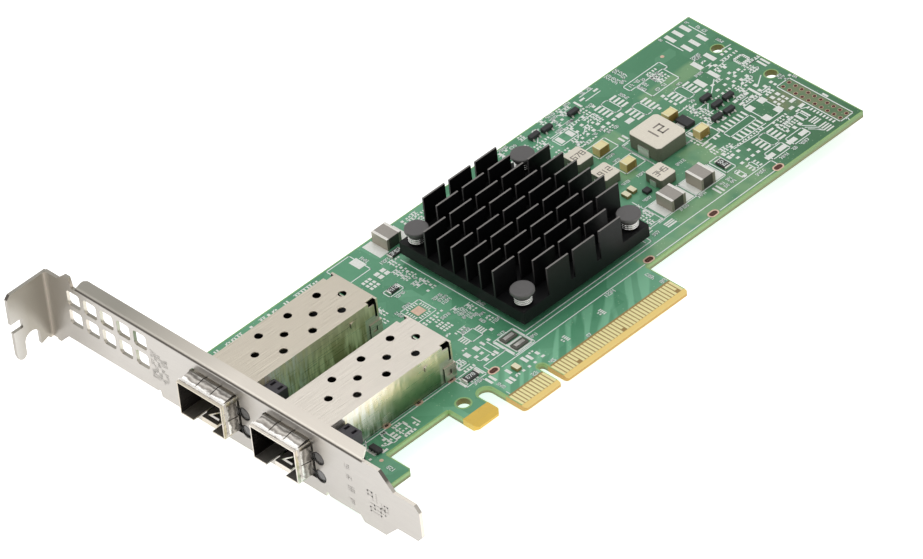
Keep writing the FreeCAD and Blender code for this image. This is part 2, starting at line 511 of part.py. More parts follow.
def spring_coil(x, y, z0, z1):
    """Compression spring of square wire, closed between z0 and z1, in straight lengths."""
    half, steps = SPRING_WIRE / 2, round(SPRING_TURNS * SPRING_STEPS)
    rise = (z1 - z0 - SPRING_WIRE) / steps
    sections = []
    for i in range(steps + 1):
        a, z = 2 * math.pi * i / SPRING_STEPS, z0 + half + rise * i
        sections.append([V(x + (SPRING_R + u * half) * math.cos(a),
                           y + (SPRING_R + u * half) * math.sin(a), z + w * half)
                         for u, w in ((-1, -1), (1, -1), (1, 1), (-1, 1))])
    faces = [Part.Face(Part.makePolygon(s + [s[0]])) for s in (sections[0], sections[-1])]
    for a, b in zip(sections, sections[1:]):
        for k in range(4):
            m = (k + 1) % 4
            for tri in ((a[k], a[m], b[m]), (a[k], b[m], b[k])):
                faces.append(Part.Face(Part.makePolygon(list(tri) + [tri[0]])))
    shell = Part.makeShell(faces)
    shell.sewShape()
    return Part.makeSolid(shell)


def heatsink_springs():
    z0, room = HS_Z0 + HS_BASE, HEAD_OVER_BASE - PIN_HEAD_T - PIN_COLLAR_T
    return group(spring_coil(x, y, z0, z0 + room) for x, y in pin_points())


def heatsink_clips():
    return group(ngon(x, y, CLIP_R, SMALL_SIDES, BOT - CLIP_T, BOT)
                 .cut(ngon(x, y, PIN_R, SMALL_SIDES, BOT - 2, TOP)) for x, y in pin_points())


# ------------------------------------------------------- board components
def coil_bodies(items):
    return group(plate_xy(clipped(x, y, w, d, w * COIL_CUT), TOP + 0.1, TOP + h)
                 for x, y, w, d, h in items)


def coil_terminals(items):
    t, out = 0.2, []
    for x, y, w, d, h in items:
        for side in (-1, 1):
            out.append(block(x + side * (w + t) / 2, y, t, d * 0.34, TOP, TOP + h * 0.55))
    return group(out)


def cap_ends(items, size):
    length, w, h, e = size
    return group(block(x + side * (length - e) / 2, y, e, w, TOP, TOP + h)
                 for x, y in items for side in (-1, 1))


def cap_bodies(items, size, inset=0.06):
    length, w, h, e = size
    return group(block(x, y, length - 2 * e, w - 2 * inset, TOP + 0.05, TOP + h - inset)
                 for x, y in items)


def resistor_block(item, shift, length, z0, z1):
    """Slice of a resistor, its middle moved along the long side by shift."""
    x, y, _, w, along_y = item
    if along_y:
        return block(x, y + shift, w, length, z0, z1)
    return block(x + shift, y, length, w, z0, z1)


def resistor_bodies():
    z0, z1 = TOP + 0.02, TOP + RESISTOR_H
    return group(resistor_block(r, 0.0, r[2] - 2 * RESISTOR_END, z0, z1) for r in RESISTORS)


def resistor_ends():
    z1 = TOP + RESISTOR_H + 0.02
    return group(resistor_block(r, side * (r[2] - RESISTOR_END) / 2, RESISTOR_END, TOP, z1)
                 for r in RESISTORS for side in (-1, 1))


def transistor_bodies():
    w, d, h = TRANSISTOR_SIZE
    bodies = [block(x, y, w, d, TOP + 0.1, TOP + h) for x, y in TRANSISTORS]
    w, d, h = SIX_LEAD_SIZE
    return group(bodies + [block(*SIX_LEAD, w, d, TOP + 0.1, TOP + h)])


def transistor_leads():
    out, across = (TRANSISTOR_SIZE[1] + LEAD_L) / 2, TRANSISTOR_SIZE[0] / 3
    feet = ((-across, -out), (across, -out), (0.0, out))
    leads = [block(x + dx, y + dy, LEAD_W, LEAD_L, TOP, TOP + LEAD_H)
             for x, y in TRANSISTORS for dx, dy in feet]
    (x, y), out = SIX_LEAD, (SIX_LEAD_SIZE[0] + LEAD_L) / 2
    leads += [block(x + side * out, y + SIX_LEAD_PITCH * i, LEAD_L, LEAD_W, TOP, TOP + LEAD_H)
              for side in (-1, 1) for i in (-1, 0, 1)]
    return group(leads)


def export_board():
    b = board()
    export("circuit_board", b)
    export("edge_contacts_component_side", contacts(1))
    export("edge_contacts_solder_side", contacts(-1))
    export("ground_tab_plating", ground_plating(b))


def export_bracket():
    export("bracket", bracket())
    export("bracket_standoffs", standoffs())
    export("bracket_screws", mount_screws())


def export_ports():
    for i, yc in enumerate(PORT_YS):
        n = "_%d" % (i + 1)
        export("port_cage_shell" + n, cage_shell(yc))
        export("port_cage_floor" + n, cage_floor(yc))
        export("port_spring_fingers" + n, springs(yc))
        export("port_connector" + n, connector(yc))
        export("port_connector_contacts" + n, connector_contacts(yc))
        export("light_pipe_holder" + n, light_holder(yc))
        export("light_pipes" + n, light_pipes(yc))


def export_cooling():
    export("heatsink", heatsink())
    export("heatsink_pins", heatsink_pins())
    export("heatsink_springs", heatsink_springs())
    export("heatsink_clips", heatsink_clips())
    export("controller_chip", block(HS_X, HS_Y, CHIP_W, CHIP_W, TOP + 0.1, TOP + CHIP_T))
    export("thermal_pad", block(HS_X, HS_Y, CHIP_W - 2, CHIP_W - 2, TOP + CHIP_T, HS_Z0))


def export_components():
    small = [(x, y, COIL_W, COIL_D, COIL_H) for x, y in SMALL_COILS]
    export("large_inductor_body", coil_bodies(LARGE_COIL))
    export("large_inductor_terminals", coil_terminals(LARGE_COIL))
    export("small_inductor_bodies", coil_bodies(small))
    export("small_inductor_terminals", coil_terminals(small))
    export("large_capacitor_bodies", cap_bodies(LARGE_CAPS, LARGE_CAP_SIZE))
    export("large_capacitor_ends", cap_ends(LARGE_CAPS, LARGE_CAP_SIZE))
    export("tan_capacitor_bodies", cap_bodies(TAN_CAPS, TAN_CAP_SIZE))
    export("tan_capacitor_ends", cap_ends(TAN_CAPS, TAN_CAP_SIZE))
    export("transistor_bodies", transistor_bodies())
    export("transistor_leads", transistor_leads())
    (x, y), (w, d, h) = DIODE, DIODE_SIZE
    export("power_diode", block(x, y, w, d, TOP + 0.05, TOP + h))
    export("power_diode_leads", group(block(x + side * (w / 2 + 0.25), y, 0.5, d * 0.6, TOP, TOP + h / 2)
                                      for side in (-1, 1)))
    export("resistor_bodies", resistor_bodies())
    export("resistor_ends", resistor_ends())
    w, d, h = SHUNT_SIZE
    seat, (plate_w, plate_d, plate_t) = TOP + h, SHUNT_PLATE
    export("shunt_bodies", group(block(x, y, w, d, TOP, seat) for x, y in SHUNTS))
    export("shunt_plates", group(block(x, y, plate_w, plate_d, seat, seat + plate_t) for x, y in SHUNTS))
    w, d, h = CHIP_CAP_SIZE
    export("small_chip_capacitors", group(block(x, y, w, d, TOP, TOP + h) for x, y in CHIP_CAPS))
    w, d, h = DRIVER_SIZE
    export("small_driver_chip", block(*DRIVER_CHIP, w, d, TOP + 0.02, TOP + h))


export_board()
export_bracket()
export_ports()
export_cooling()
export_components()
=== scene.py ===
import itertools
import json
import math
import random

import bmesh
import bpy
from bpy.props import FloatProperty, FloatVectorProperty, IntProperty, PointerProperty
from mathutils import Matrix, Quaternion, Vector


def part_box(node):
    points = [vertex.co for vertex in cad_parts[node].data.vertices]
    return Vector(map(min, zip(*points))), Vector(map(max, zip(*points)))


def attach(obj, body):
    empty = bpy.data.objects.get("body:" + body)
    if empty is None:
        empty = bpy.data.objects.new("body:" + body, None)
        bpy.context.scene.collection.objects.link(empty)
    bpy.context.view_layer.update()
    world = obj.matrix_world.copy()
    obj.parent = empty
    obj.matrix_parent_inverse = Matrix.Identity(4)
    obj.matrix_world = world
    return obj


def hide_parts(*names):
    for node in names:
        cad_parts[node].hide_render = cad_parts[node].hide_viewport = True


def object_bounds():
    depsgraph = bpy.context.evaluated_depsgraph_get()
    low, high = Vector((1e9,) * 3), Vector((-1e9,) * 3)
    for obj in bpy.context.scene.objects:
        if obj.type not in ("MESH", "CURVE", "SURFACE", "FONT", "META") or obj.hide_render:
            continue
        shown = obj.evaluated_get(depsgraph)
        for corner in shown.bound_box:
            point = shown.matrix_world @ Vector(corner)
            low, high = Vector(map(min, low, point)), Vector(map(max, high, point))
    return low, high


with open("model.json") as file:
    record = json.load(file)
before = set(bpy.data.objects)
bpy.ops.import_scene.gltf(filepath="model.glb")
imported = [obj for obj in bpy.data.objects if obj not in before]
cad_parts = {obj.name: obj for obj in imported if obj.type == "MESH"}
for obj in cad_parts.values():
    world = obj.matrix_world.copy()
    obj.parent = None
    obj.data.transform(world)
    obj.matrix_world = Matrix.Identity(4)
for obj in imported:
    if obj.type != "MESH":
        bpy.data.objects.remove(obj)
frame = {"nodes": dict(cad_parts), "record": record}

bl_info = {
    "name": "Network card dresser",
    "version": (1, 0, 0),
    "blender": (4, 5, 0),
    "location": "View3D > Sidebar > Card",
    "description": "Finishes and fine detail for a network interface card on its fixed frame",
    "category": "Object",
}

MM = 0.001
ROOT = "root"
CAD_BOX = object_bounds()
BOARD_LO, BOARD_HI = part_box("circuit_board")
TOP = BOARD_HI.z / MM                # component face of the board
SKIN = 0.012                         # clearance of the print over the solder mask
HOLE_REACH = 2.3                     # half side of the square kept round each round hole


def node_slot(node):
    """Material slot that the record gives a CAD node."""
    for part in frame["record"]["subparts"]:
        if part["node"] == node:
            return part["material_slot"]
    raise ValueError("no slot for " + node)


def mounting_holes():
    """Plan places, in millimetres, of the board's round holes that the record lists as mounts."""
    return [tuple(c / MM for c in mount["pos_m"][:2])
            for mount in frame["record"]["mounts"] if "hole" in mount["name"]]


# ------------------------------------------------------------ user values
class CARD_PG_board(bpy.types.PropertyGroup):
    mask_colour: FloatVectorProperty(
        name="Solder mask", description="Green of the mask over bare laminate",
        subtype="COLOR", default=(0.075, 0.30, 0.155), min=0, max=1)
    pour_colour: FloatVectorProperty(
        name="Mask over copper", description="Lighter green where copper lies under the mask",
        subtype="COLOR", default=(0.215, 0.54, 0.33), min=0, max=1)
    edge_colour: FloatVectorProperty(
        name="Board edge", description="Pale green of the bare strip along the board's outline",
        subtype="COLOR", default=(0.33, 0.54, 0.205), min=0, max=1)
    print_colour: FloatVectorProperty(
        name="Print", description="White of the printed outlines and numbers",
        subtype="COLOR", default=(0.90, 1.0, 0.92), min=0, max=1)
    print_width: FloatProperty(
        name="Print line", description="Width of the printed lines",
        default=0.00026, min=0.00005, max=0.0005, unit="LENGTH", precision=5)
    pad_colour: FloatVectorProperty(
        name="Pads", description="Tinned pads with no part on them",
        subtype="COLOR", default=(0.93, 0.97, 0.86), min=0, max=1)


class CARD_PG_metal(bpy.types.PropertyGroup):
    steel_colour: FloatVectorProperty(
        name="Plated steel", description="Bracket, cages and their springs",
        subtype="COLOR", default=(0.80, 0.742, 0.66), min=0, max=1)
    gold_colour: FloatVectorProperty(
        name="Gold", description="Contact strips and ground tab",
        subtype="COLOR", default=(1.0, 0.86, 0.43), min=0, max=1)
    tab_colour: FloatVectorProperty(
        name="Tab gold", description="Deeper gold of the ground tab",
        subtype="COLOR", default=(0.82, 0.55, 0.09), min=0, max=1)
    edge_round: FloatProperty(
        name="Edge round", description="Rounding of the sheet edges",
        default=0.0001, min=0, max=0.001, unit="LENGTH", precision=5)


class CARD_PG_cooling(bpy.types.PropertyGroup):
    fin_colour: FloatVectorProperty(
        name="Anodised black", description="Heatsink body",
        subtype="COLOR", default=(0.004, 0.004, 0.0045), min=0, max=1)
    coil_wire: FloatProperty(
        name="Coil wire", description="Radius of the spring wire under a pin head",
        default=0.00025, min=0.0001, max=0.0005, unit="LENGTH", precision=5)
    coil_turns: IntProperty(
        name="Coil turns", description="Turns of each spring", default=3, min=1, max=8)


class CARD_PG_stage(bpy.types.PropertyGroup):
    floor_colour: FloatVectorProperty(
        name="Floor", description="Pale floor under the card",
        subtype="COLOR", default=(0.96, 0.96, 0.96), min=0, max=1)
    lens: FloatProperty(
        name="Lens", description="Focal length of the camera",
        default=336.6, min=20, max=1000, unit="CAMERA")
    azimuth: FloatProperty(
        name="Azimuth", description="Camera's bearing round the card",
        default=math.radians(-40.16), subtype="ANGLE")
    elevation: FloatProperty(
        name="Elevation", description="Camera's height above the horizon",
        default=math.radians(39.44), subtype="ANGLE")
    roll: FloatProperty(
        name="Roll", description="Tilt of the camera about its own axis",
        default=math.radians(7.02), subtype="ANGLE")


GROUPS = {"card_board": CARD_PG_board, "card_metal": CARD_PG_metal,
          "card_cooling": CARD_PG_cooling, "card_stage": CARD_PG_stage}


# ----------------------------------------------------------- finish maker
class Finish:
    """One node material, with its coordinates in millimetres of the card's frame."""

    def __init__(self, name, colour, roughness, metallic=0.0):
        self.material = bpy.data.materials.new(name)
        self.material.use_nodes = True
        self.tree = self.material.node_tree
        self.shader = self.tree.nodes["Principled BSDF"]
        self.shader.inputs["Base Color"].default_value = (*colour, 1)
        self.shader.inputs["Roughness"].default_value = roughness
        self.shader.inputs["Metallic"].default_value = metallic
        self.colour = colour
        place = self.node("ShaderNodeTexCoord").outputs["Object"]
        self.mm = self.maths("MULTIPLY", place, (1 / MM,) * 3, kind="ShaderNodeVectorMath")
        split = self.node("ShaderNodeSeparateXYZ", self.mm)
        self.x, self.y, self.z = split.outputs
        facing = self.node("ShaderNodeNewGeometry").outputs["Normal"]
        self.nx, self.ny, self.nz = self.node("ShaderNodeSeparateXYZ", facing).outputs

    def node(self, kind, *inputs, **settings):
        made = self.tree.nodes.new(kind)
        for key, value in settings.items():
            setattr(made, key, value)
        for i, value in enumerate(inputs):
            self.feed(made.inputs[i], value)
        return made

    def feed(self, socket, value):
        if isinstance(value, bpy.types.NodeSocket):
            self.tree.links.new(value, socket)
        elif value is not None:
            socket.default_value = value

    def maths(self, operation, a, b=None, kind="ShaderNodeMath", clamp=False):
        made = self.node(kind, a, b, operation=operation)
        if clamp:
            made.use_clamp = True
        return made.outputs[0]

    def stretch(self, scale, vector=None):
        return self.maths("MULTIPLY", vector or self.mm, scale, kind="ShaderNodeVectorMath")

    def turned(self, degrees):
        made = self.node("ShaderNodeVectorRotate", self.mm, rotation_type="Z_AXIS")
        made.inputs["Angle"].default_value = math.radians(degrees)
        return made.outputs[0]

    def noise(self, scale, detail=3.0, vector=None):
        made = self.node("ShaderNodeTexNoise", vector or self.mm)
        made.inputs["Scale"].default_value = scale
        made.inputs["Detail"].default_value = detail
        return made.outputs[0]

    def cells(self, scale, vector=None, metric="CHEBYCHEV"):
        made = self.node("ShaderNodeTexVoronoi", vector or self.mm, distance=metric)
        made.inputs["Scale"].default_value = scale
        return made

    def ramp(self, factor, stops, blend="LINEAR"):
        made = self.node("ShaderNodeValToRGB", factor)
        made.color_ramp.interpolation = blend
        marks = made.color_ramp.elements
        while len(marks) < len(stops):
            marks.new(0.5)
        for mark, (at, colour) in zip(marks, stops):
            mark.position = at
            mark.color = (*colour, 1) if len(colour) == 3 else colour
        return made.outputs[0]

    def step(self, value, low, high):
        """0 below low, 1 above high, straight between."""
        made = self.node("ShaderNodeMapRange", value)
        for i, number in enumerate((low, high, 0.0, 1.0)):
            made.inputs[i + 1].default_value = number
        return made.outputs[0]

    def times(self, a, b):
        """Product; of two masks, 1 where both are."""
        return self.maths("MULTIPLY", a, b)

    def patch(self, x0, x1, y0, y1, soft=0.3):
        """1 inside a plan rectangle, fading to 0 over a soft edge."""
        across = self.times(self.step(self.x, x0 - soft, x0 + soft), self.step(self.x, x1 + soft, x1 - soft))
        along = self.times(self.step(self.y, y0 - soft, y0 + soft), self.step(self.y, y1 + soft, y1 - soft))
        return self.times(across, along)

    def mix(self, factor, a, b):
        made = self.node("ShaderNodeMix", data_type="RGBA")
        for socket, value in ((made.inputs[0], factor), (made.inputs[6], a), (made.inputs[7], b)):
            if isinstance(value, tuple) and len(value) == 3:
                value = (*value, 1)
            self.feed(socket, value)
        return made.outputs[2]

    def scaled(self, gain):
        return tuple(min(1.0, c * gain) for c in self.colour)

    def paint(self, socket):
        self.feed(self.shader.inputs["Base Color"], socket)

    def gloss(self, factor, low, high):
        made = self.node("ShaderNodeMapRange", factor)
        made.inputs[3].default_value = low
        made.inputs[4].default_value = high
        self.feed(self.shader.inputs["Roughness"], made.outputs[0])

    def rough(self, socket):
        self.feed(self.shader.inputs["Roughness"], socket)

    def bump(self, height, strength, distance):
        made = self.node("ShaderNodeBump")
        made.inputs["Strength"].default_value = strength
        made.inputs["Distance"].default_value = distance
        self.feed(made.inputs["Height"], height)
        self.feed(self.shader.inputs["Normal"], made.outputs[0])

    def mottled(self, scale=1.5, low=0.9, high=1.1, bump=0.15, depth=0.00002, rough=0.08):
        """Slight change of tone, gloss and height that a moulded or plated face has."""
        tone = self.noise(scale)
        self.paint(self.mix(tone, self.scaled(low), self.scaled(high)))
        base = self.shader.inputs["Roughness"].default_value
        self.gloss(tone, base - rough, base + rough)
        self.bump(self.noise(scale * 6, 2), bump, depth)
        return self


PORT_MIDDLE, PORT_OFFSET = 38.5, 11.7    # Y midway between the two ports, and of each from it

# Plan rectangles where the mask looks olive, and where it looks brown: x0, x1, y0, y1.
OLIVE_AREAS = ((39.0, 81.0, 12.0, 17.4), (55.0, 80.0, 17.4, 22.2), (71.5, 79.5, 27.5, 35.5),
               (81.0, 98.5, 52.5, 57.0), (60.0, 69.0, 48.5, 53.5), (57.0, 62.0, 37.5, 42.5))
BROWN_AREAS = ((103.9, 107.9, 14.8, 34.8), (99.0, 104.5, 26.0, 34.0))


def solder_mask_finish():
    user = bpy.context.scene.card_board
    mask, pour, edge = tuple(user.mask_colour), tuple(user.pour_colour), tuple(user.edge_colour)
    f = Finish("solder_mask", mask, 0.36)
    # copper areas under the mask, square ones and ones cut at 45 degrees
    pours = f.cells(0.085).outputs["Color"]
    areas = f.ramp(pours, [(0.0, (0, 0, 0)), (0.42, (0.3,) * 3), (0.62, (0.7,) * 3)], "CONSTANT")
    slanted = f.cells(0.12, f.turned(45)).outputs["Color"]
    slants = f.ramp(slanted, [(0.0, (0, 0, 0)), (0.5, (0.5,) * 3)], "CONSTANT")
    level = f.maths("ADD", f.times(areas, 0.6), f.times(slants, 0.35))
    level = f.maths("ADD", level, f.times(f.noise(0.35, 2), 0.25), clamp=True)
    # fans of traces running out to the contacts
    fan = f.noise(1.0, 0.5, f.stretch((0.05, 0.5, 0.0), f.turned(-45)))
    fans = f.times(f.patch(-11.0, 39.5, 6.0, 13.6), f.step(fan, 0.47, 0.56))
    level = f.maths("ADD", f.times(level, 0.85), f.times(fans, 0.75), clamp=True)
    green = f.mix(level, mask, pour)
    # painted shade: the mask is painted darker toward the far end of the board, as less light reaches it
    far = f.times(f.step(f.x, 40.0, 96.0), f.step(f.y, 100.0, 14.0))
    green = f.mix(f.times(far, 0.9), green, (0.045, 0.16, 0.06))
    for spots, colour, share in ((OLIVE_AREAS, (0.28, 0.47, 0.23), 0.6),
                                 (BROWN_AREAS, (0.22, 0.25, 0.125), 0.8)):
        for spot in spots:
            where = f.times(f.patch(*spot, 0.5), f.step(f.noise(0.25, 1), 0.2, 0.55))
            green = f.mix(f.times(where, share), green, colour)
    # painted shade on the board under the closed cages, on the component side alone
    for y in (PORT_MIDDLE - PORT_OFFSET, PORT_MIDDLE + PORT_OFFSET):
        # painted shade: the mask under each cage is painted near black
        under = f.times(f.patch(-60.0, -15.0, y - 7.0, y + 7.0, 0.2), f.step(f.nz, 0.5, 0.8))
        green = f.mix(under, green, (0.01, 0.02, 0.012))
    # contact tongue: no mask between the strips, bare lead-in bevel
    over = f.step(f.x, -12.4, -12.3)
    green = f.mix(f.times(f.step(f.y, 6.1, 5.9), over), green, (0.40, 0.25, 0.065))
    green = f.mix(f.times(f.step(f.y, 1.4, 1.25), over), green, (1.0, 0.74, 0.24))
    # routed edges: pale above, browner below, gold along the tongue, olive in the round holes
    flat = f.step(f.maths("ABSOLUTE", f.nz), 0.5, 0.6)
    rim = f.mix(f.noise(2.0), tuple(c * 0.85 for c in edge), edge)
    # painted shade: the routed edges are painted darker toward the far end as well
    rim = f.mix(f.times(f.step(f.x, 35.0, 90.0), 0.9), rim, tuple(c * 0.6 for c in edge))
    rim = f.mix(f.step(f.z, 0.15, -0.35), rim, (0.21, 0.22, 0.085))
    rim = f.mix(f.times(f.step(f.y, 6.5, 6.0), f.step(f.x, -24.0, -23.8)), rim, (0.62, 0.38, 0.08))
    for x, y in mounting_holes():
        hole = f.patch(x - HOLE_REACH, x + HOLE_REACH, y - HOLE_REACH, y + HOLE_REACH, 0.1)
        rim = f.mix(hole, rim, (0.17, 0.15, 0.015))
    vias = f.cells(1.1, metric="EUCLIDEAN")
    dots = f.times(f.step(vias.outputs["Distance"], 0.16, 0.11), f.step(f.noise(0.12, 1), 0.5, 0.56))
    green = f.mix(f.times(dots, 0.55), green, (0.55, 0.75, 0.5))
    f.paint(f.mix(flat, rim, green))
    f.gloss(f.noise(0.6), 0.28, 0.45)
    f.bump(level, 0.2, 0.00003)
    return f.material


def print_finish():
    f = Finish("white_print", tuple(bpy.context.scene.card_board.print_colour), 0.6)
    return f.mottled(3.0, 0.9, 1.1).material


def pad_finish():
    f = Finish("tinned_pads", tuple(bpy.context.scene.card_board.pad_colour), 0.38, 0.08)
    return f.mottled(2.2, 0.85, 1.15, 0.4, 0.00004).material


def copper_finish():
    f = Finish("bare_copper", (0.86, 0.58, 0.44), 0.4, 0.3)
    return f.mottled(2.0, 0.75, 1.25).material


def gold_finish():
    user = bpy.context.scene.card_metal
    f = Finish("gold_plate", tuple(user.gold_colour), 0.3, 0.3)
    streak = f.noise(1.0, 3, f.stretch((6.0, 0.8, 6.0)))
    strips = f.mix(streak, f.scaled(0.86), f.scaled(1.1))
    tab = tuple(user.tab_colour)
    wear_and_sheen = f.mix(f.noise(0.5, 3), tuple(c * 0.85 for c in tab), tab)
    f.paint(f.mix(f.step(f.x, -14.0, -15.0), strips, wear_and_sheen))
    f.gloss(streak, 0.22, 0.4)
    f.bump(f.noise(5.0), 0.15, 0.00001)
    return f.material


def steel(name, gain, along, roughness):
    """Bright plated sheet with its rolling grain along one axis: the finish, its tone and grain."""
    colour = tuple(c * gain for c in bpy.context.scene.card_metal.steel_colour)
    f = Finish(name, colour, roughness, 0.9)
    grain = f.noise(1.0, 4, f.stretch(tuple(0.12 if i == along else 3.0 for i in range(3))))
    cloud = f.noise(0.07, 2)
    tone = f.mix(f.maths("ADD", f.times(grain, 0.5), f.times(cloud, 0.5)),
                 f.scaled(0.9), f.scaled(1.1))
    f.gloss(grain, roughness - 0.06, roughness + 0.08)
    f.bump(grain, 0.12, 0.00001)
    return f, tone, grain


def bracket_finish():
    """Plated steel in tones painted by facing as light and shade: a duller grey face, darker toward the
    screw head; painted shade on the folded lip and on the screw tab, lighter toward the tab's outer end; and
    a painted dark line of shade along the fold.
    """
    f, tone, grain = steel("bracket_steel", 0.96, 1, 0.34)
    # painted shade: the face is painted a duller grey than the plated steel
    face = f.step(f.maths("ABSOLUTE", f.nx), 0.6, 0.9)
    tone = f.mix(face, tone, f.mix(grain, (0.49, 0.465, 0.43), (0.57, 0.54, 0.505)))
    # painted shade: the folded lip's top is painted darker
    lip = f.times(f.step(f.nz, 0.7, 0.95), f.step(f.y, 44.0, 82.0))
    tone = f.mix(lip, tone, (0.36, 0.34, 0.295))
    head = f.times(face, f.step(f.y, 84.0, 97.0))
    tone = f.mix(f.times(head, 0.75), tone, (0.36, 0.335, 0.30))
    # painted shade: the screw tab's side is painted darker, lighter toward its outer end and low down
    tab = f.times(f.step(f.ny, -0.6, -0.9), f.step(f.x, -58.0, -58.6))
    outer = f.times(f.step(f.x, -64.0, -68.5), f.step(f.z, 14.0, 4.0))
    tone = f.mix(tab, tone, f.mix(outer, (0.42, 0.39, 0.335), (0.62, 0.60, 0.56)))
    # painted shade: a dark line painted along the fold, where the bend shows dark
    fold = f.times(f.times(f.step(f.nz, 0.25, 0.45), f.step(f.nz, 0.85, 0.7)), f.step(f.z, 12.0, 12.6))
    tone = f.mix(f.times(fold, 0.85), tone, (0.10, 0.085, 0.07))
    f.paint(tone)
    return f.material


def cage_finish():
    """Satin lid, wavy mirror-like walls with painted reflections and highlights, and painted shade inside
    the port; the rear cage is a darker painted copy.
    """
    f, tone, grain = steel("cage_steel", 0.98, 0, 0.36)
    rear = f.step(f.y, PORT_MIDDLE - 1.0, PORT_MIDDLE + 1.0)
    # painted shade: the rear cage is painted a darker, warmer copy of the same steel
    tone = f.mix(rear, tone, (0.66, 0.60, 0.50))
    wall = f.step(f.maths("ABSOLUTE", f.ny), 0.6, 0.9)
    # walls: painted reflections, dark green low down and browner on the rear cage, with painted highlights
    # lighter and streaked above and toward the bracket
    waves = f.noise(1.0, 2, f.stretch((0.9, 0.55, 0.25)))
    streaks = f.noise(1.0, 3, f.stretch((1.3, 1.0, 0.22)))
    up = f.maths("ADD", f.step(f.z, 0.8, 13.0), f.times(f.noise(0.35, 3), 0.3))
    front = f.ramp(up, [(0.1, (0.12, 0.20, 0.11)), (0.45, (0.36, 0.42, 0.24)), (0.75, (0.8, 0.72, 0.48)),
                        (1.0, (1.0, 0.9, 0.75))])
    front = f.mix(rear, front, f.ramp(up, [(0.1, (0.30, 0.24, 0.11)), (0.6, (0.52, 0.44, 0.24)),
                                           (1.0, (0.8, 0.72, 0.5))]))
    # painted highlights: bright streaks on the walls toward the bracket
    bright = f.times(f.step(f.x, -32.0, -42.0), f.step(streaks, 0.35, 0.65))
    front = f.mix(bright, front, (1.0, 0.97, 0.90))
    # painted highlights: light bands on the rear cage's walls
    rear_wall_highlights = f.noise(1.0, 2, f.stretch((0.8, 1.0, 0.12)))
    front = f.mix(f.times(rear, f.step(rear_wall_highlights, 0.47, 0.66)), front, (0.95, 0.86, 0.58))
    ears = f.times(f.step(f.x, -18.9, -18.5), f.times(f.step(f.z, 7.2, 6.9), f.step(f.z, 1.2, 1.5)))
    front = f.mix(ears, front, (0.62, 0.60, 0.48))
    tone = f.mix(wall, tone, front)
    dull = f.times(wall, f.times(rear, 0.5))
    f.feed(f.shader.inputs["Metallic"], f.maths("SUBTRACT", 0.9, dull))
    # painted shade: the port's inside, its back wall and every downward face are painted near black
    side = f.maths("SUBTRACT", f.y, PORT_MIDDLE)
    out = f.maths("SUBTRACT", f.maths("ABSOLUTE", side), PORT_OFFSET)
    outward = f.times(out, f.times(f.ny, f.maths("SIGN", side)))
    back = f.times(f.step(f.nx, -0.6, -0.9), f.step(f.x, -30.0, -20.0))
    inward = f.maths("MAXIMUM", f.step(outward, -1.0, -4.0), f.step(f.nz, -0.5, -0.8))
    inside = f.maths("MAXIMUM", inward, back)
    f.paint(f.mix(inside, tone, (0.035, 0.03, 0.026)))
    f.rough(f.maths("SUBTRACT", f.maths("ADD", f.times(grain, 0.14), 0.3),
                    f.times(wall, 0.08), clamp=True))
    f.bump(f.mix(wall, grain, waves), 0.5, 0.0002)
    return f.material


def spring_finish():
    """Polished fingers, whose bowed tops are painted with bands of reflected light and dark: painted
    reflections.
    """
    f = Finish("spring_steel", (0.8, 0.77, 0.73), 0.16, 0.9)
    wander = f.times(f.noise(0.8, 3, f.stretch((1.0, 0.5, 1.0))), 0.36)
    back = f.maths("ADD", f.step(f.x, -62.8, -57.2), wander)
    # painted reflections: light and dark bands by distance from the bracket, wandering a little
    bands = f.ramp(back, [(0.0, (0.30, 0.28, 0.26)), (0.3, (0.16, 0.145, 0.13)), (0.38, (0.85, 0.82, 0.78)),
                          (0.52, (0.92, 0.9, 0.86)), (0.6, (0.2, 0.18, 0.16)), (0.74, (0.5, 0.47, 0.43)),
                          (0.85, (0.1, 0.09, 0.08)), (1.0, (0.42, 0.4, 0.37))])
    f.paint(bands)
    f.gloss(f.noise(3.0), 0.1, 0.24)
    f.bump(f.noise(1.5, 2), 0.2, 0.00004)
    return f.material


def heatsink_finish():
    f = Finish("black_anodised", tuple(bpy.context.scene.card_cooling.fin_colour), 0.42)
    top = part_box("heatsink")[1].z / MM
    # painted highlight: the fin crests are painted a lighter grey, as the light they catch
    crest = f.times(f.step(f.z, top - 0.3, top - 0.2), f.step(f.nz, 0.2, 0.6))
    grain = f.noise(1.0, 3, f.stretch((0.3, 5.0, 5.0)))
    wear_and_sheen = f.mix(grain, (0.17, 0.16, 0.15), (0.30, 0.28, 0.27))
    body = f.mix(f.noise(0.5), f.scaled(0.6), f.scaled(1.3))
    # painted highlight: the fin ends facing the bracket are painted lighter toward their tops
    end = f.times(f.step(f.nx, -0.6, -0.9), f.step(f.z, 6.5, 12.5))
    body = f.mix(end, body, (0.09, 0.085, 0.086))
    f.shader.inputs["Specular IOR Level"].default_value = 0.25
    f.paint(f.mix(crest, body, wear_and_sheen))
    f.gloss(grain, 0.36, 0.52)
    f.bump(grain, 0.2, 0.00002)
    return f.material


def ferrite_finish():
    f = Finish("pressed_ferrite", (0.92, 0.84, 0.71), 0.55)
    # painted light and shade by facing: the top is painted pale as lit, the walls dark as shaded
    top = f.step(f.nz, 0.25, 0.7)
    speck = f.noise(4.0, 4)
    lid = f.mix(speck, f.scaled(0.85), f.scaled(1.12))
    wall = f.mix(speck, (0.11, 0.12, 0.085), (0.21, 0.22, 0.155))
    f.paint(f.mix(top, wall, lid))
    f.gloss(speck, 0.45, 0.65)
    f.bump(speck, 0.3, 0.00004)
    return f.material


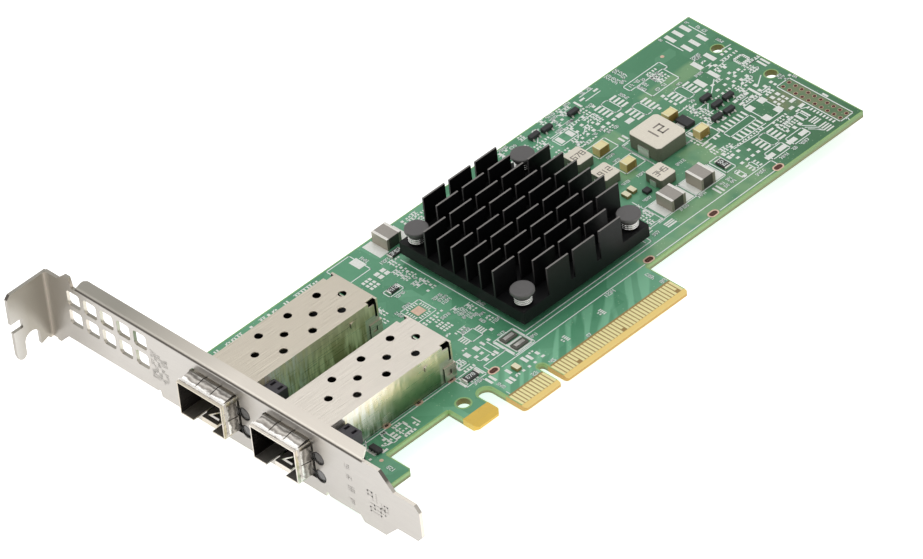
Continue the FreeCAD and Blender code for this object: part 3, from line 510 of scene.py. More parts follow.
def two_tone_finish(name, lit_top_colour, shaded_side_colour, roughness, metallic=0.0, end_colour=None):
    """A part whose top, sides and, if given, ends differ in colour, painted as light and shade by facing: a
    lit tone on top, a shaded one on the sides.
    """
    f = Finish(name, lit_top_colour, roughness, metallic)
    speck = f.noise(2.5, 3)
    lid = f.mix(speck, f.scaled(0.88), f.scaled(1.1))
    wall = f.mix(speck, tuple(c * 0.8 for c in shaded_side_colour), tuple(c * 1.2 for c in shaded_side_colour))
    if end_colour:
        wall = f.mix(f.step(f.maths("ABSOLUTE", f.nx), 0.5, 0.8), wall, end_colour)
    # painted light and shade: top, sides and ends take their tones from which way they face
    f.paint(f.mix(f.step(f.nz, 0.3, 0.7), wall, lid))
    f.gloss(speck, roughness - 0.06, roughness + 0.08)
    f.bump(f.noise(8.0), 0.2, 0.00002)
    return f.material


def plain_finish(name, colour, roughness, metallic=0.0, scale=1.5):
    return Finish(name, colour, roughness, metallic).mottled(scale).material


def clear_finish():
    f = Finish("clear_light_guide", (0.34, 0.33, 0.32), 0.12)
    f.shader.inputs["Transmission Weight"].default_value = 0.5
    f.shader.inputs["IOR"].default_value = 1.49
    return f.mottled(1.2, 0.8, 1.2, 0.1).material


def make_finishes():
    """Every finish, by the record's slot name; scene-only pieces use extra names."""
    return {
        "board_laminate": solder_mask_finish(),
        "gold_plating": gold_finish(),
        "contact_gold": plain_finish("contact_gold", (0.83, 0.62, 0.25), 0.3, 0.9),
        "bracket_steel": bracket_finish(),
        "cage_steel": cage_finish(),
        "spring_steel": spring_finish(),
        "connector_plastic": plain_finish("connector_plastic", (0.02, 0.02, 0.02), 0.5),
        "holder_plastic": plain_finish("holder_plastic", (0.055, 0.05, 0.058), 0.5),
        "clear_plastic": clear_finish(),
        "black_anodise": heatsink_finish(),
        "pin_plastic": plain_finish("pin_plastic", (0.125, 0.12, 0.118), 0.5),
        "spring_wire": plain_finish("spring_wire", (0.78, 0.77, 0.75), 0.2, 1.0, 0.8),
        "chip_black": plain_finish("chip_black", (0.03, 0.03, 0.032), 0.5),
        "pad_grey": plain_finish("pad_grey", (0.3, 0.3, 0.32), 0.8),
        "ferrite": ferrite_finish(),
        "tin_plate": plain_finish("tin_plate", (0.83, 0.81, 0.76), 0.32, 0.7),
        "capacitor_ends": two_tone_finish("capacitor_ends", (0.95, 0.90, 0.84), (0.30, 0.27, 0.22), 0.4,
                                          0.3, (0.42, 0.38, 0.31)),
        "grey_ceramic": two_tone_finish("grey_ceramic", (0.40, 0.37, 0.33), (0.05, 0.045, 0.035), 0.4),
        "tan_ceramic": two_tone_finish("tan_ceramic", (1.0, 0.84, 0.45), (0.33, 0.21, 0.045), 0.42),
        "tan_ends": two_tone_finish("tan_ends", (1.0, 0.92, 0.62), (0.38, 0.25, 0.07), 0.4,
                                    0.1, (1.0, 0.76, 0.34)),
        "small_ceramic": two_tone_finish("small_ceramic", (1.0, 0.88, 0.62), (0.30, 0.24, 0.09), 0.45),
        "mark_ink": plain_finish("mark_ink", (0.26, 0.23, 0.20), 0.6),
        "stamped_mark": plain_finish("stamped_mark", (0.54, 0.51, 0.47), 0.5),
        "dark_liner": plain_finish("dark_liner", (0.09, 0.018, 0.006), 0.5),
        "bare_edge": plain_finish("bare_edge", tuple(bpy.context.scene.card_board.edge_colour), 0.5),
        "resistor_black": plain_finish("resistor_black", (0.04, 0.04, 0.036), 0.4),
        "shunt_grey": plain_finish("shunt_grey", (0.11, 0.11, 0.09), 0.5),
        "print": print_finish(),
        "pads": pad_finish(),
        "copper": copper_finish(),
    }


FINISHES = {}


# ------------------------------------------------------------ mesh makers
def finished_piece(name, mesh, finish, smooth=False):
    """Puts a mesh in the scene as a piece of the card."""
    made = bpy.data.objects.new(name, mesh)
    bpy.context.scene.collection.objects.link(made)
    mesh.materials.clear()
    mesh.materials.append(FINISHES[finish])
    for face in mesh.polygons:
        face.use_smooth = smooth
    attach(made, ROOT)
    return made


class Relief:
    """Collects flat raised shapes, in millimetres, and makes them one piece."""

    def __init__(self, low, high):
        self.low, self.high = low, high
        self.points, self.faces = [], []

    def prism(self, outline):
        n, k = len(outline), len(self.points)
        for z in (self.low, self.high):
            self.points += [(x, y, z) for x, y in outline]
        self.faces.append(tuple(range(k + n - 1, k - 1, -1)))
        self.faces.append(tuple(range(k + n, k + 2 * n)))
        self.faces += [(k + i, k + (i + 1) % n, k + n + (i + 1) % n, k + n + i) for i in range(n)]

    def plate(self, cx, cy, w, d):
        x, y = w / 2, d / 2
        self.prism([(cx - x, cy - y), (cx + x, cy - y), (cx + x, cy + y), (cx - x, cy + y)])

    def disc(self, cx, cy, r, sides=12):
        turn = 2 * math.pi / sides
        self.prism([(cx + r * math.cos(turn * i), cy + r * math.sin(turn * i)) for i in range(sides)])

    def ring(self, cx, cy, inner, outer, length=0.0, sides=24):
        """Flat ring, drawn out along X by length."""
        def rim(r, i):
            a = 2 * math.pi * i / sides
            return (cx + r * math.cos(a) + math.copysign(length / 2, math.cos(a)), cy + r * math.sin(a))
        for i in range(sides):
            self.prism([rim(inner, i), rim(outer, i), rim(outer, i + 1), rim(inner, i + 1)])

    def stroke(self, points, width):
        h = width / 2
        for (ax, ay), (bx, by) in zip(points, points[1:]):
            reach = math.hypot(bx - ax, by - ay)
            ux, uy = (bx - ax) / reach * h, (by - ay) / reach * h
            self.prism([(ax - ux + uy, ay - uy - ux), (bx + ux + uy, by + uy - ux),
                        (bx + ux - uy, by + uy + ux), (ax - ux - uy, ay - uy + ux)])

    def frame_line(self, x0, x1, y0, y1, width):
        self.stroke([(x0, y0), (x1, y0), (x1, y1), (x0, y1), (x0, y0)], width)

    def number(self, text, cx, cy, height, width, upright=False):
        """Plain digits centred on a point, along X, or along Y if upright."""
        advance = height * 0.85
        start = -advance * (len(text) - 1) / 2 - height * 0.3
        for i, digit in enumerate(text):
            for line in DIGITS[digit]:
                spots = [(start + advance * i + u * height, (v - 0.5) * height) for u, v in line]
                if upright:
                    spots = [(-v, u) for u, v in spots]
                self.stroke([(cx + u, cy + v) for u, v in spots], width)

    def piece(self, name, finish, slot):
        mesh = bpy.data.meshes.new(name)
        mesh.from_pydata([tuple(c * MM for c in p) for p in self.points], [], self.faces)
        return finished_piece(name, mesh, finish)


def running_digits():
    """Hands out the digits 1 to 9 over and over, so that no mark says anything; a long run has a gap."""
    digits = itertools.cycle("123456789")

    def take(count):
        text = "".join(itertools.islice(digits, count))
        return text if count < 5 else text[:2] + " " + text[3:]

    return take


DIGITS = {
    " ": [],
    "1": [[(0.3, 0), (0.3, 1)]],
    "2": [[(0, 1), (0.6, 1), (0.6, 0.5), (0, 0.5), (0, 0), (0.6, 0)]],
    "3": [[(0, 1), (0.6, 1), (0.6, 0), (0, 0)], [(0.1, 0.5), (0.6, 0.5)]],
    "4": [[(0, 1), (0, 0.5), (0.6, 0.5)], [(0.6, 1), (0.6, 0)]],
    "5": [[(0.6, 1), (0, 1), (0, 0.5), (0.6, 0.5), (0.6, 0), (0, 0)]],
    "6": [[(0.6, 1), (0, 1), (0, 0), (0.6, 0), (0.6, 0.5), (0, 0.5)]],
    "7": [[(0, 1), (0.6, 1), (0.2, 0)]],
    "8": [[(0, 0), (0.6, 0), (0.6, 1), (0, 1), (0, 0)], [(0, 0.5), (0.6, 0.5)]],
    "9": [[(0.6, 0), (0.6, 1), (0, 1), (0, 0.5), (0.6, 0.5)]],
}


def softened(node, width, finish=None):
    """A CAD node with its edges rounded by width millimetres; it stands for the node."""
    mesh = frame["nodes"][node].data.copy()
    bm = bmesh.new()
    bm.from_mesh(mesh)
    bmesh.ops.remove_doubles(bm, verts=bm.verts, dist=0.002 * MM)
    bmesh.ops.dissolve_limit(bm, angle_limit=math.radians(1), verts=bm.verts, edges=bm.edges)
    sharp = [e for e in bm.edges if len(e.link_faces) == 2 and e.calc_face_angle(0) > math.radians(35)]
    bmesh.ops.bevel(bm, geom=sharp, offset=width * MM, segments=2, profile=0.5,
                    affect="EDGES", clamp_overlap=True)
    for edge in bm.edges:
        edge.smooth = len(edge.link_faces) != 2 or edge.calc_face_angle(0) < math.radians(50)
    bm.to_mesh(mesh)
    bm.free()
    slot = node_slot(node)
    made = finished_piece(node + "_rounded", mesh, finish or slot, smooth=True)
    weigh = made.modifiers.new("weighted_shading", "WEIGHTED_NORMAL")
    weigh.keep_sharp = True
    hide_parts(node)
    return made


def swept(points, radius, sides, closed_ends=True):
    """Points and faces of a round wire along a path, in metres."""
    verts, faces = [], []
    for i, p in enumerate(points):
        before, after = points[max(i - 1, 0)], points[min(i + 1, len(points) - 1)]
        along = (after - before).normalized()
        out = along.orthogonal() if abs(along.z) > 0.9 else along.cross(Vector((0, 0, 1)))
        out.normalize()
        up = out.cross(along)
        for k in range(sides):
            a = 2 * math.pi * k / sides
            verts.append(p + (out * math.cos(a) + up * math.sin(a)) * radius)
    for i in range(len(points) - 1):
        for k in range(sides):
            m = (k + 1) % sides
            faces.append((i * sides + k, i * sides + m, (i + 1) * sides + m, (i + 1) * sides + k))
    if closed_ends:
        faces.append(tuple(range(sides - 1, -1, -1)))
        faces.append(tuple(range(len(verts) - sides, len(verts))))
    return verts, faces


def lathe(profile, cx, cy, sides):
    """Points and faces of a solid turned about a vertical axis; profile is radius and height in mm."""
    verts, faces, n = [], [], len(profile)
    for i in range(sides):
        a = 2 * math.pi * i / sides
        verts += [Vector((cx + r * math.cos(a), cy + r * math.sin(a), z)) * MM for r, z in profile]
    for i in range(sides):
        j = (i + 1) % sides
        faces += [(i * n + k, j * n + k, j * n + k + 1, i * n + k + 1) for k in range(n - 1)]
    faces.append(tuple(i * n for i in range(sides - 1, -1, -1)))
    faces.append(tuple(i * n + n - 1 for i in range(sides)))
    return verts, faces


def mesh_from(name, parts):
    """One mesh from several pairs of points and faces, its faces turned outward."""
    verts, faces = [], []
    for some_verts, some_faces in parts:
        k = len(verts)
        verts += [tuple(v) for v in some_verts]
        faces += [tuple(i + k for i in face) for face in some_faces]
    mesh = bpy.data.meshes.new(name)
    mesh.from_pydata(verts, [], faces)
    bm = bmesh.new()
    bm.from_mesh(mesh)
    bmesh.ops.recalc_face_normals(bm, faces=bm.faces)
    bm.to_mesh(mesh)
    bm.free()
    return mesh


# -------------------------------------------------- what the board carries
# Footprints with nothing fitted: centre x, y in millimetres of the frame.
EIGHT_PIN = ((75.0, 59.55), (78.85, 53.4), (89.1, 50.0), (89.0, 23.15))
FOURTEEN_PIN = (88.3, 31.5)
CORNER_PADS = (96.25, 31.5)
SMALL_EIGHT = (-2.1, 26.8)
QUAD_PADS = ((-3.9, 42.2, 2.1, 5), (106.1, 48.2, 1.25, 4))     # with the reach and count of pads
# Single pads: x, y, size along X, size along Y.
LONE_PADS = (
    (101.2, 66.3, 1.15, 3.2), (103.7, 66.3, 1.15, 3.2), (106.2, 66.3, 1.2, 3.2),
    (101.2, 60.9, 1.15, 3.2), (103.7, 60.9, 1.15, 3.2), (106.2, 60.9, 1.2, 3.2),
    (97.95, 54.5, 1.35, 3.4), (102.2, 54.5, 1.3, 3.4), (93.8, 49.4, 1.55, 3.4), (98.1, 49.4, 1.25, 3.4),
    (58.8, 60.0, 1.3, 2.4), (62.1, 60.0, 1.4, 2.4), (73.9, 55.8, 1.9, 1.2), (73.9, 52.6, 2.0, 1.5),
    (84.75, 18.6, 2.6, 1.4), (88.65, 18.6, 2.7, 1.4), (91.85, 18.6, 2.7, 1.4), (95.6, 18.6, 2.4, 1.4),
    (-1.0, 64.7, 2.3, 3.5), (-0.9, 58.6, 1.3, 1.1), (0.95, 58.6, 1.3, 1.1), (-0.9, 57.2, 1.3, 1.1),
    (0.95, 57.2, 1.3, 1.1), (-7.8, 22.8, 1.2, 1.7), (-4.9, 22.8, 1.2, 1.7), (-2.8, 23.0, 0.7, 1.5),
    (-6.9, 20.8, 1.0, 0.8), (-5.2, 20.8, 0.9, 0.8), (-6.1, 18.4, 1.0, 1.0), (-3.9, 18.4, 0.7, 0.9),
    (-3.0, 18.5, 0.7, 1.5), (-1.0, 22.9, 0.7, 1.0), (1.9, 24.9, 0.9, 0.9), (53.5, 20.4, 2.8, 0.45),
    (53.5, 19.8, 2.8, 0.4), (53.5, 19.1, 2.8, 0.5), (102.5, 28.6, 1.6, 1.0), (100.4, 26.9, 1.3, 0.9),
    (102.5, 25.7, 1.6, 1.0), (100.6, 25.1, 1.2, 0.6), (100.4, 32.9, 0.9, 1.2), (102.1, 32.9, 0.9, 1.2),
    (101.2, 39.0, 0.9, 1.2), (100.5, 37.1, 0.8, 0.9), (102.3, 37.1, 0.8, 0.9), (104.3, 37.1, 0.8, 0.8),
    (104.3, 35.8, 0.7, 0.8), (94.1, 38.6, 1.1, 0.9), (97.7, 38.6, 1.1, 0.9), (94.3, 36.9, 1.1, 0.7),
    (97.7, 36.9, 1.1, 0.7), (99.4, 37.5, 0.7, 4.2), (95.7, 21.4, 0.9, 1.1), (97.4, 21.4, 0.9, 1.1),
    (93.8, 25.2, 0.8, 0.8), (93.8, 21.8, 0.8, 0.8), (98.8, 23.0, 0.45, 3.0), (101.0, 23.0, 0.5, 3.0),
    (68.3, 19.5, 0.55, 2.8), (69.4, 19.5, 0.55, 2.8), (72.6, 66.6, 1.5, 0.6), (77.0, 66.6, 1.4, 0.6),
    (70.7, 66.1, 0.6, 2.7), (72.4, 62.7, 0.8, 0.8), (85.1, 52.9, 0.9, 0.9), (81.4, 50.4, 0.8, 0.8),
    (68.5, 57.5, 0.9, 0.9), (66.3, 56.6, 0.9, 0.9), (68.5, 55.8, 0.9, 0.9), (70.2, 55.8, 0.9, 0.9),
    (72.0, 55.8, 0.9, 0.9), (65.9, 60.1, 0.8, 0.8), (63.5, 61.0, 0.9, 0.8), (63.5, 59.2, 0.9, 0.8),
    (67.8, 49.2, 0.6, 2.0), (69.0, 49.2, 0.6, 2.0), (81.0, 35.2, 0.9, 1.3), (79.2, 35.6, 0.9, 1.9),
    (79.2, 38.2, 0.9, 1.6), (100.7, 51.3, 0.9, 0.8), (99.8, 49.2, 0.8, 0.9), (101.6, 49.2, 0.8, 0.9),
    (100.7, 46.9, 0.8, 0.8), (102.9, 46.1, 0.8, 0.8), (99.0, 45.7, 0.8, 0.8), (100.7, 45.1, 0.8, 0.8),
    (97.0, 44.7, 0.8, 0.8), (99.1, 43.9, 0.8, 0.8), (100.7, 43.1, 0.8, 0.8), (102.5, 43.1, 0.8, 0.8),
    (94.5, 44.6, 1.0, 0.7), (92.8, 46.6, 1.0, 0.8), (95.1, 46.8, 1.0, 0.7), (87.9, 36.2, 1.4, 0.7),
    (90.9, 36.6, 0.9, 0.9), (86.3, 36.6, 0.7, 0.9), (55.8, 24.9, 3.0, 5.6), (62.3, 24.9, 2.9, 5.6),
    (65.8, 24.9, 2.6, 5.6), (72.1, 24.9, 2.6, 5.6), (5.0, 65.1, 2.8, 5.9), (12.3, 65.1, 2.4, 5.9),
    (-14.6, 17.0, 0.45, 2.9), (-15.3, 16.4, 0.5, 2.4), (-9.85, 17.0, 0.45, 2.9), (-0.75, 18.1, 0.5, 6.3),
    (0.2, 18.1, 0.5, 6.3), (4.9, 18.1, 0.4, 6.2), (2.4, 18.1, 4.0, 0.6), (2.4, 14.9, 4.4, 0.5),
    (-10.9, 12.8, 0.7, 2.4), (-9.7, 12.8, 0.7, 2.4), (-8.2, 9.2, 0.8, 1.9), (-7.1, 9.2, 0.7, 1.9),
    (-5.9, 11.7, 0.8, 1.9), (-0.8, 11.8, 0.9, 2.2), (0.5, 11.5, 0.8, 2.1), (2.6, 11.2, 0.8, 1.2),
    (2.7, 9.5, 0.9, 0.7), (83.0, 38.2, 0.8, 1.4), (108.6, 24.1, 0.6, 1.8), (-39.4, 16.7, 0.9, 0.8),
    (-39.6, 14.8, 1.1, 0.5), (-44.1, 16.9, 1.0, 0.6), (-44.1, 15.9, 1.0, 0.6), (-44.1, 14.9, 1.0, 0.6),
    (-41.9, 13.9, 1.8, 0.6), (-46.0, 14.3, 0.7, 0.6), (-30.2, 16.1, 0.35, 2.8), (-32.6, 17.1, 0.4, 1.6),
)
# Rows of like pads: first x, y, step along X, step along Y, count, size along X, size along Y.
PAD_ROWS = (
    (-5.1, 58.6, 1.0, 0.0, 3, 0.7, 0.9), (-5.1, 57.2, 1.0, 0.0, 3, 0.7, 0.9),
    (-5.1, 55.9, 1.0, 0.0, 3, 0.7, 0.9), (-6.1, 38.2, 1.1, 0.0, 6, 0.6, 0.6),
    (-6.1, 37.4, 1.1, 0.0, 4, 0.6, 0.6), (-4.9, 35.1, 0.75, 0.0, 3, 0.5, 0.8),
    (-4.9, 33.9, 0.75, 0.0, 4, 0.5, 0.8), (-4.9, 32.8, 0.75, 0.0, 4, 0.5, 0.7),
    (100.5, 20.4, 0.0, -0.75, 3, 2.4, 0.42), (100.5, 17.2, 0.0, -0.8, 4, 2.4, 0.42),
    (99.6, 31.3, 1.3, 0.0, 3, 0.75, 0.8), (99.6, 30.1, 1.3, 0.0, 3, 0.75, 0.8),
    (100.4, 34.6, 0.95, 0.0, 3, 0.6, 0.8), (102.9, 24.0, 0.0, -1.0, 9, 0.9, 0.5),
    (95.2, 23.3, 0.85, 0.0, 4, 0.5, 0.55), (95.2, 22.6, 0.85, 0.0, 4, 0.5, 0.55),
    (107.9, 43.5, 1.1, 0.0, 2, 0.6, 3.0), (84.8, 51.6, 0.0, -1.45, 3, 0.7, 0.9),
    (78.7, 33.3, 0.0, -1.2, 3, 2.1, 0.5), (81.5, 33.0, 1.1, 0.0, 2, 0.6, 1.2),
    (79.0, 21.9, 1.75, 0.0, 4, 0.9, 0.8), (78.9, 20.2, 0.0, -1.0, 3, 0.9, 0.5),
    (81.3, 20.2, 0.0, -1.0, 3, 0.8, 0.5), (75.9, 20.2, 0.0, -1.8, 2, 1.1, 0.6),
    (78.6, 27.3, 0.0, -1.7, 2, 0.9, 1.2), (79.7, 25.6, 1.9, 0.0, 2, 0.9, 0.9),
    (79.8, 24.0, 3.6, 0.0, 2, 0.9, 0.7), (104.6, 53.0, 1.3, 0.0, 3, 0.7, 0.8),
    (9.2, 9.4, 0.0, 0.7, 2, 0.5, 0.4), (20.9, 9.6, 0.0, 0.7, 2, 0.5, 0.4),
    (10.3, 9.0, 0.0, 0.55, 4, 0.9, 0.35), (21.8, 9.1, 0.0, 0.55, 4, 0.9, 0.35),
    (-36.9, 16.7, 0.0, -1.0, 3, 1.3, 0.6), (-35.3, 18.0, 0.9, 0.0, 3, 0.6, 0.7),
    (-35.4, 13.9, 0.9, 0.0, 4, 0.6, 0.7), (-31.2, 15.6, 0.0, -1.0, 2, 0.8, 0.6),
    (-13.4, 15.6, 0.9, 0.0, 3, 0.6, 0.5), (-11.9, 19.2, 0.9, 0.0, 4, 0.5, 0.8),
)
# Printed outlines: x0, x1, y0, y1.
PRINTED_FRAMES = (
    (-7.5, -0.4, 61.1, 68.1), (-6.9, -1.0, 39.3, 45.0), (-4.6, -0.3, 50.5, 52.9),
    (-15.6, -9.4, 15.0, 18.8), (-1.1, 5.2, 14.4, 21.5), (74.3, 77.4, 22.2, 27.9),
    (53.5, 64.2, 21.8, 27.9), (64.4, 73.6, 21.8, 27.9), (103.8, 108.0, 14.75, 34.9),
    (66.2, 78.2, 36.6, 47.6), (59.7, 65.9, 48.2, 52.9), (59.7, 65.9, 39.6, 44.2),
    (60.1, 61.9, 54.5, 56.0), (83.6, 92.3, 54.7, 60.0), (104.6, 107.6, 46.9, 49.5),
    (100.2, 103.0, 41.5, 42.6), (103.8, 106.4, 42.8, 43.6), (78.4, 83.9, 33.6, 39.4),
    (75.4, 76.7, 18.0, 21.0), (79.6, 80.6, 18.0, 20.7), (93.3, 94.5, 22.0, 24.9),
    (57.7, 63.2, 58.3, 61.6), (-38.9, -37.6, 14.3, 18.4), (-35.3, -32.9, 14.4, 17.6),
    (95.0, 97.2, 38.1, 39.3), (95.0, 97.2, 36.3, 37.4), (99.2, 100.4, 21.5, 24.5),
    (94.9, 98.3, 24.2, 24.7), (100.2, 102.9, 35.8, 36.5), (84.4, 89.9, 17.2, 20.2),
    (91.3, 96.6, 17.2, 20.2), (93.7, 98.6, 27.8, 35.7),
)
# Printed lines: lists of x, y points.
PRINTED_LINES = (
    ((6.05, 58.0), (6.05, 18.6), (46.3, 18.6), (46.3, 21.0), (49.0, 21.0)),
    ((5.2, 17.4), (83.8, 17.45), (83.8, 15.6)),
    ((-5.6, 14.0), (39.4, 14.0)), ((43.4, 14.05), (60.2, 14.1)), ((63.9, 14.1), (81.6, 14.2)),
    ((-44.2, 17.3), (-42.2, 19.8), (-14.6, 19.8), (-11.6, 22.0)),
    ((-8.2, 15.6), (-8.2, 17.3), (-1.4, 17.3), (-1.1, 17.8)),
    ((-3.8, 18.5), (-3.8, 22.6)), ((-1.8, 18.8), (-1.8, 22.6)), ((-7.4, 20.0), (-7.4, 19.1), (-4.6, 19.1)),
    ((-12.4, 21.0), (-9.6, 21.0), (-9.6, 22.4)), ((-12.4, 20.2), (-9.6, 20.2)),
    ((81.7, 62.4), (93.5, 62.4), (93.5, 59.6), (92.4, 59.6)),
    ((81.7, 62.4), (81.7, 60.1), (83.6, 60.1)), ((72.8, 67.6), (76.9, 67.6)),
    ((72.8, 65.55), (77.4, 65.55)), ((99.95, 66.4), (99.95, 61.0)), ((107.5, 66.4), (107.5, 61.0)),
    ((66.3, 47.2), (66.3, 37.8)), ((66.3, 47.2), (67.9, 47.2)), ((80.2, 45.9), (86.6, 45.9)),
    ((68.4, 36.7), (78.4, 36.7)), ((98.8, 56.3), (100.9, 56.9)), ((84.4, 28.0), (92.6, 27.6)),
    ((81.6, 26.9), (89.0, 26.3)), ((89.2, 26.6), (97.0, 26.6)), ((45.0, 19.3), (45.0, 20.8)),
    ((47.8, 22.0), (53.4, 22.0)), ((53.3, 31.4), (53.3, 26.9)), ((86.2, 45.9), (86.2, 43.0), (84.4, 42.2)),
    ((92.9, 45.0), (96.8, 48.0)), ((97.3, 20.6), (99.2, 18.2)), ((97.3, 19.6), (99.2, 17.2)),
    ((97.3, 18.6), (99.0, 16.4)), ((98.3, 17.2), (99.2, 15.6)), ((103.2, 24.0), (101.6, 25.0)),
    ((101.2, 38.4), (104.6, 40.6)), ((104.4, 54.4), (108.4, 54.0)), ((105.4, 45.6), (109.4, 45.6)),
    ((87.6, 41.0), (89.6, 42.9)), ((85.2, 43.4), (89.4, 43.4)), ((85.0, 40.2), (88.6, 40.2)),
    ((55.0, 63.4), (58.6, 66.9)), ((64.9, 66.9), (67.0, 64.0)), ((58.0, 62.2), (63.2, 62.2)),
    ((64.2, 57.6), (66.0, 59.0)), ((67.4, 61.0), (70.7, 61.0)), ((70.7, 61.0), (70.7, 59.0)),
    ((-47.0, 19.0), (-14.9, 19.0)), ((-40.9, 15.2), (-39.9, 14.8)),
)
# Plain numbers in running digits: how many digits, x, y, height; upright ones in the second list.
NUMBERS = (
    (1, -11.0, 6.7, 1.0), (2, -2.7, 6.7, 1.0), (2, 2.9, 6.7, 1.0), (2, 14.2, 6.6, 0.8),
    (2, 38.0, 6.8, 1.0), (4, 27.3, 13.1, 0.9), (3, 48.9, 19.7, 0.8), (3, 6.5, 16.1, 0.8),
    (4, -2.5, 49.5, 0.8), (4, -4.3, 45.6, 0.7), (4, 61.6, 37.1, 0.7),
    (4, 62.0, 47.1, 0.7), (4, 57.4, 37.6, 0.7), (4, 56.4, 29.8, 0.7),
    (4, 70.4, 33.0, 0.8), (4, 59.4, 21.2, 0.8), (4, 65.2, 21.2, 0.8),
    (5, 83.5, 67.8, 1.0), (5, 83.5, 66.3, 1.0), (5, 83.5, 65.0, 1.0),
    (2, 83.0, 63.8, 0.9), (5, 84.2, 61.3, 0.8), (5, 87.2, 55.6, 0.8),
    (4, 100.2, 57.2, 0.8), (3, 100.2, 56.3, 0.6), (5, 72.0, 20.3, 0.8),
    (5, 72.0, 19.0, 0.8), (4, 61.2, 62.7, 0.7), (4, 64.9, 63.2, 0.7),
    (3, 72.0, 63.6, 0.8), (4, 79.2, 16.3, 0.8), (4, 86.9, 16.2, 0.8),
    (2, 90.4, 16.3, 0.8), (4, 93.5, 16.2, 0.8), (5, 69.3, 53.5, 0.8),
    (5, 66.4, 55.4, 0.7), (2, 3.7, 50.9, 0.6), (4, 2.2, 42.4, 0.8),
    (4, 2.6, 41.1, 0.8), (4, 2.4, 39.8, 0.8), (4, -1.3, 36.2, 0.8),
    (4, 1.9, 35.1, 0.8), (4, 2.0, 33.9, 0.8), (4, 1.9, 32.6, 0.8),
    (4, 2.8, 31.4, 0.7), (3, 4.2, 30.4, 0.7), (4, 4.9, 26.4, 0.8),
    (4, -2.2, 29.1, 0.8), (3, 2.3, 22.1, 0.8), (4, -12.4, 14.5, 0.8),
    (3, -38.0, 18.3, 0.6), (4, 3.4, 60.6, 0.8), (2, 65.4, 63.0, 0.6),
    (1, 105.6, 14.0, 0.8), (1, 107.2, 35.3, 0.7), (3, 90.6, 53.2, 0.6),
    (4, 96.0, 52.1, 0.7), (2, 88.0, 46.4, 0.8), (4, 61.8, 44.9, 0.6),
    (5, 75.2, 68.3, 0.8), (4, 63.8, 68.2, 0.8), (4, 63.6, 66.9, 0.7),
    (3, 69.2, 68.2, 0.8), (4, 48.4, 68.0, 0.8), (3, 50.4, 66.8, 0.8),
    (4, 107.1, 37.4, 0.5), (4, 107.1, 36.4, 0.5), (1, 99.5, 67.8, 0.9), (1, 107.9, 67.6, 0.9),
)
UPRIGHT_NUMBERS = (
    (3, -45.2, 8.6, 0.9), (4, 37.3, 10.3, 0.8), (4, -7.6, 44.6, 0.7),
    (4, 79.5, 60.0, 0.8), (4, 0.9, 64.6, 0.8), (4, 6.9, 33.2, 0.7),
    (5, 108.5, 63.4, 0.8), (4, -10.2, 9.6, 0.7), (4, 84.2, 58.6, 0.7),
    (3, 85.6, 59.0, 0.7), (2, 86.6, 60.6, 0.7), (3, 2.8, 28.6, 0.7), (3, 63.0, 65.6, 0.7),
    (4, 88.2, 58.9, 0.6), (4, 89.3, 59.1, 0.6), (4, 90.4, 59.4, 0.6),
    (3, 57.9, 66.4, 0.6), (3, 109.2, 34.2, 0.6), (4, 108.0, 57.0, 0.6),
)
BRACKET_FACE = -57.75                # X of the bracket's outer face
# Plain numbers on that face, first the tail's, then the block by the vents:
# how many digits, y, z, height, upright.
STAMPED = (
    (2, 8.4, 10.2, 1.1, False), (2, 8.0, 7.2, 1.1, False), (2, 7.6, 4.0, 1.2, False),
    (2, 8.0, 0.4, 1.1, False), (2, 0.6, 5.6, 2.2, False), (2, 0.2, 2.2, 2.2, False),
    (2, -2.8, 3.4, 1.9, True),
    (6, 70.6, 7.8, 0.8, True), (4, 70.6, 3.0, 0.8, True), (4, 69.5, 8.4, 0.8, True),
    (6, 69.5, 3.8, 0.8, True), (5, 68.4, 7.6, 0.8, True), (3, 68.4, 3.2, 0.8, True),
    (6, 67.3, 6.4, 0.8, True), (2, 67.3, 2.2, 0.8, True), (3, 66.2, 7.8, 0.8, True),
    (4, 66.2, 3.6, 0.8, True),
)
# Areas crowded with small unfitted pads: x0, x1, y0, y1, share filled.
CROWDED = (
    (84.5, 110.0, 35.0, 48.0, 0.85), (99.0, 109.4, 36.0, 56.0, 0.85), (79.0, 84.0, 21.0, 30.0, 0.7),
    (93.0, 103.4, 20.6, 31.0, 0.85), (77.0, 84.5, 27.5, 37.0, 0.6), (60.0, 71.0, 54.0, 69.0, 0.8),
    (45.8, 60.0, 54.0, 69.0, 0.8), (88.0, 93.0, 56.5, 61.9, 0.9), (46.5, 54.0, 21.5, 31.0, 0.7),
    (-15.0, -8.0, 19.0, 24.0, 0.75), (-12.0, -7.0, 44.5, 53.0, 0.7), (1.5, 8.0, 45.0, 60.0, 0.85),
    (-45.0, -10.0, 66.9, 68.7, 0.85), (3.6, 6.0, 27.0, 36.0, 0.8), (-8.0, 3.5, 8.8, 13.4, 0.75),
    (-36.0, -31.0, 14.0, 18.5, 0.8), (-41.5, -36.5, 14.0, 18.4, 0.6), (-9.5, -3.0, 22.0, 25.6, 0.6),
    (93.5, 99.0, 35.5, 47.0, 0.75), (69.0, 83.0, 18.0, 21.0, 0.5), (13.0, 22.0, 58.5, 69.0, 0.8),
    (82.0, 86.0, 36.0, 45.0, 0.5), (-6.4, 5.5, 29.5, 38.0, 0.35), (94.5, 99.0, 46.5, 48.0, 0.9),
    (82.5, 93.0, 26.6, 27.8, 0.8), (98.6, 103.4, 28.0, 35.2, 0.8), (108.2, 109.5, 46.0, 57.0, 0.9),
)
OVAL_HOLES = ((-7.7, 14.5), (41.3, 14.5), (62.0, 14.5), (83.1, 14.5))
CAGE_PIN_RINGS = ((-15.9, 19.7), (-25.9, 19.7), (-35.8, 19.7))
SIGHT_MARKS = ((-44.6, 12.2), (95.4, 63.2))
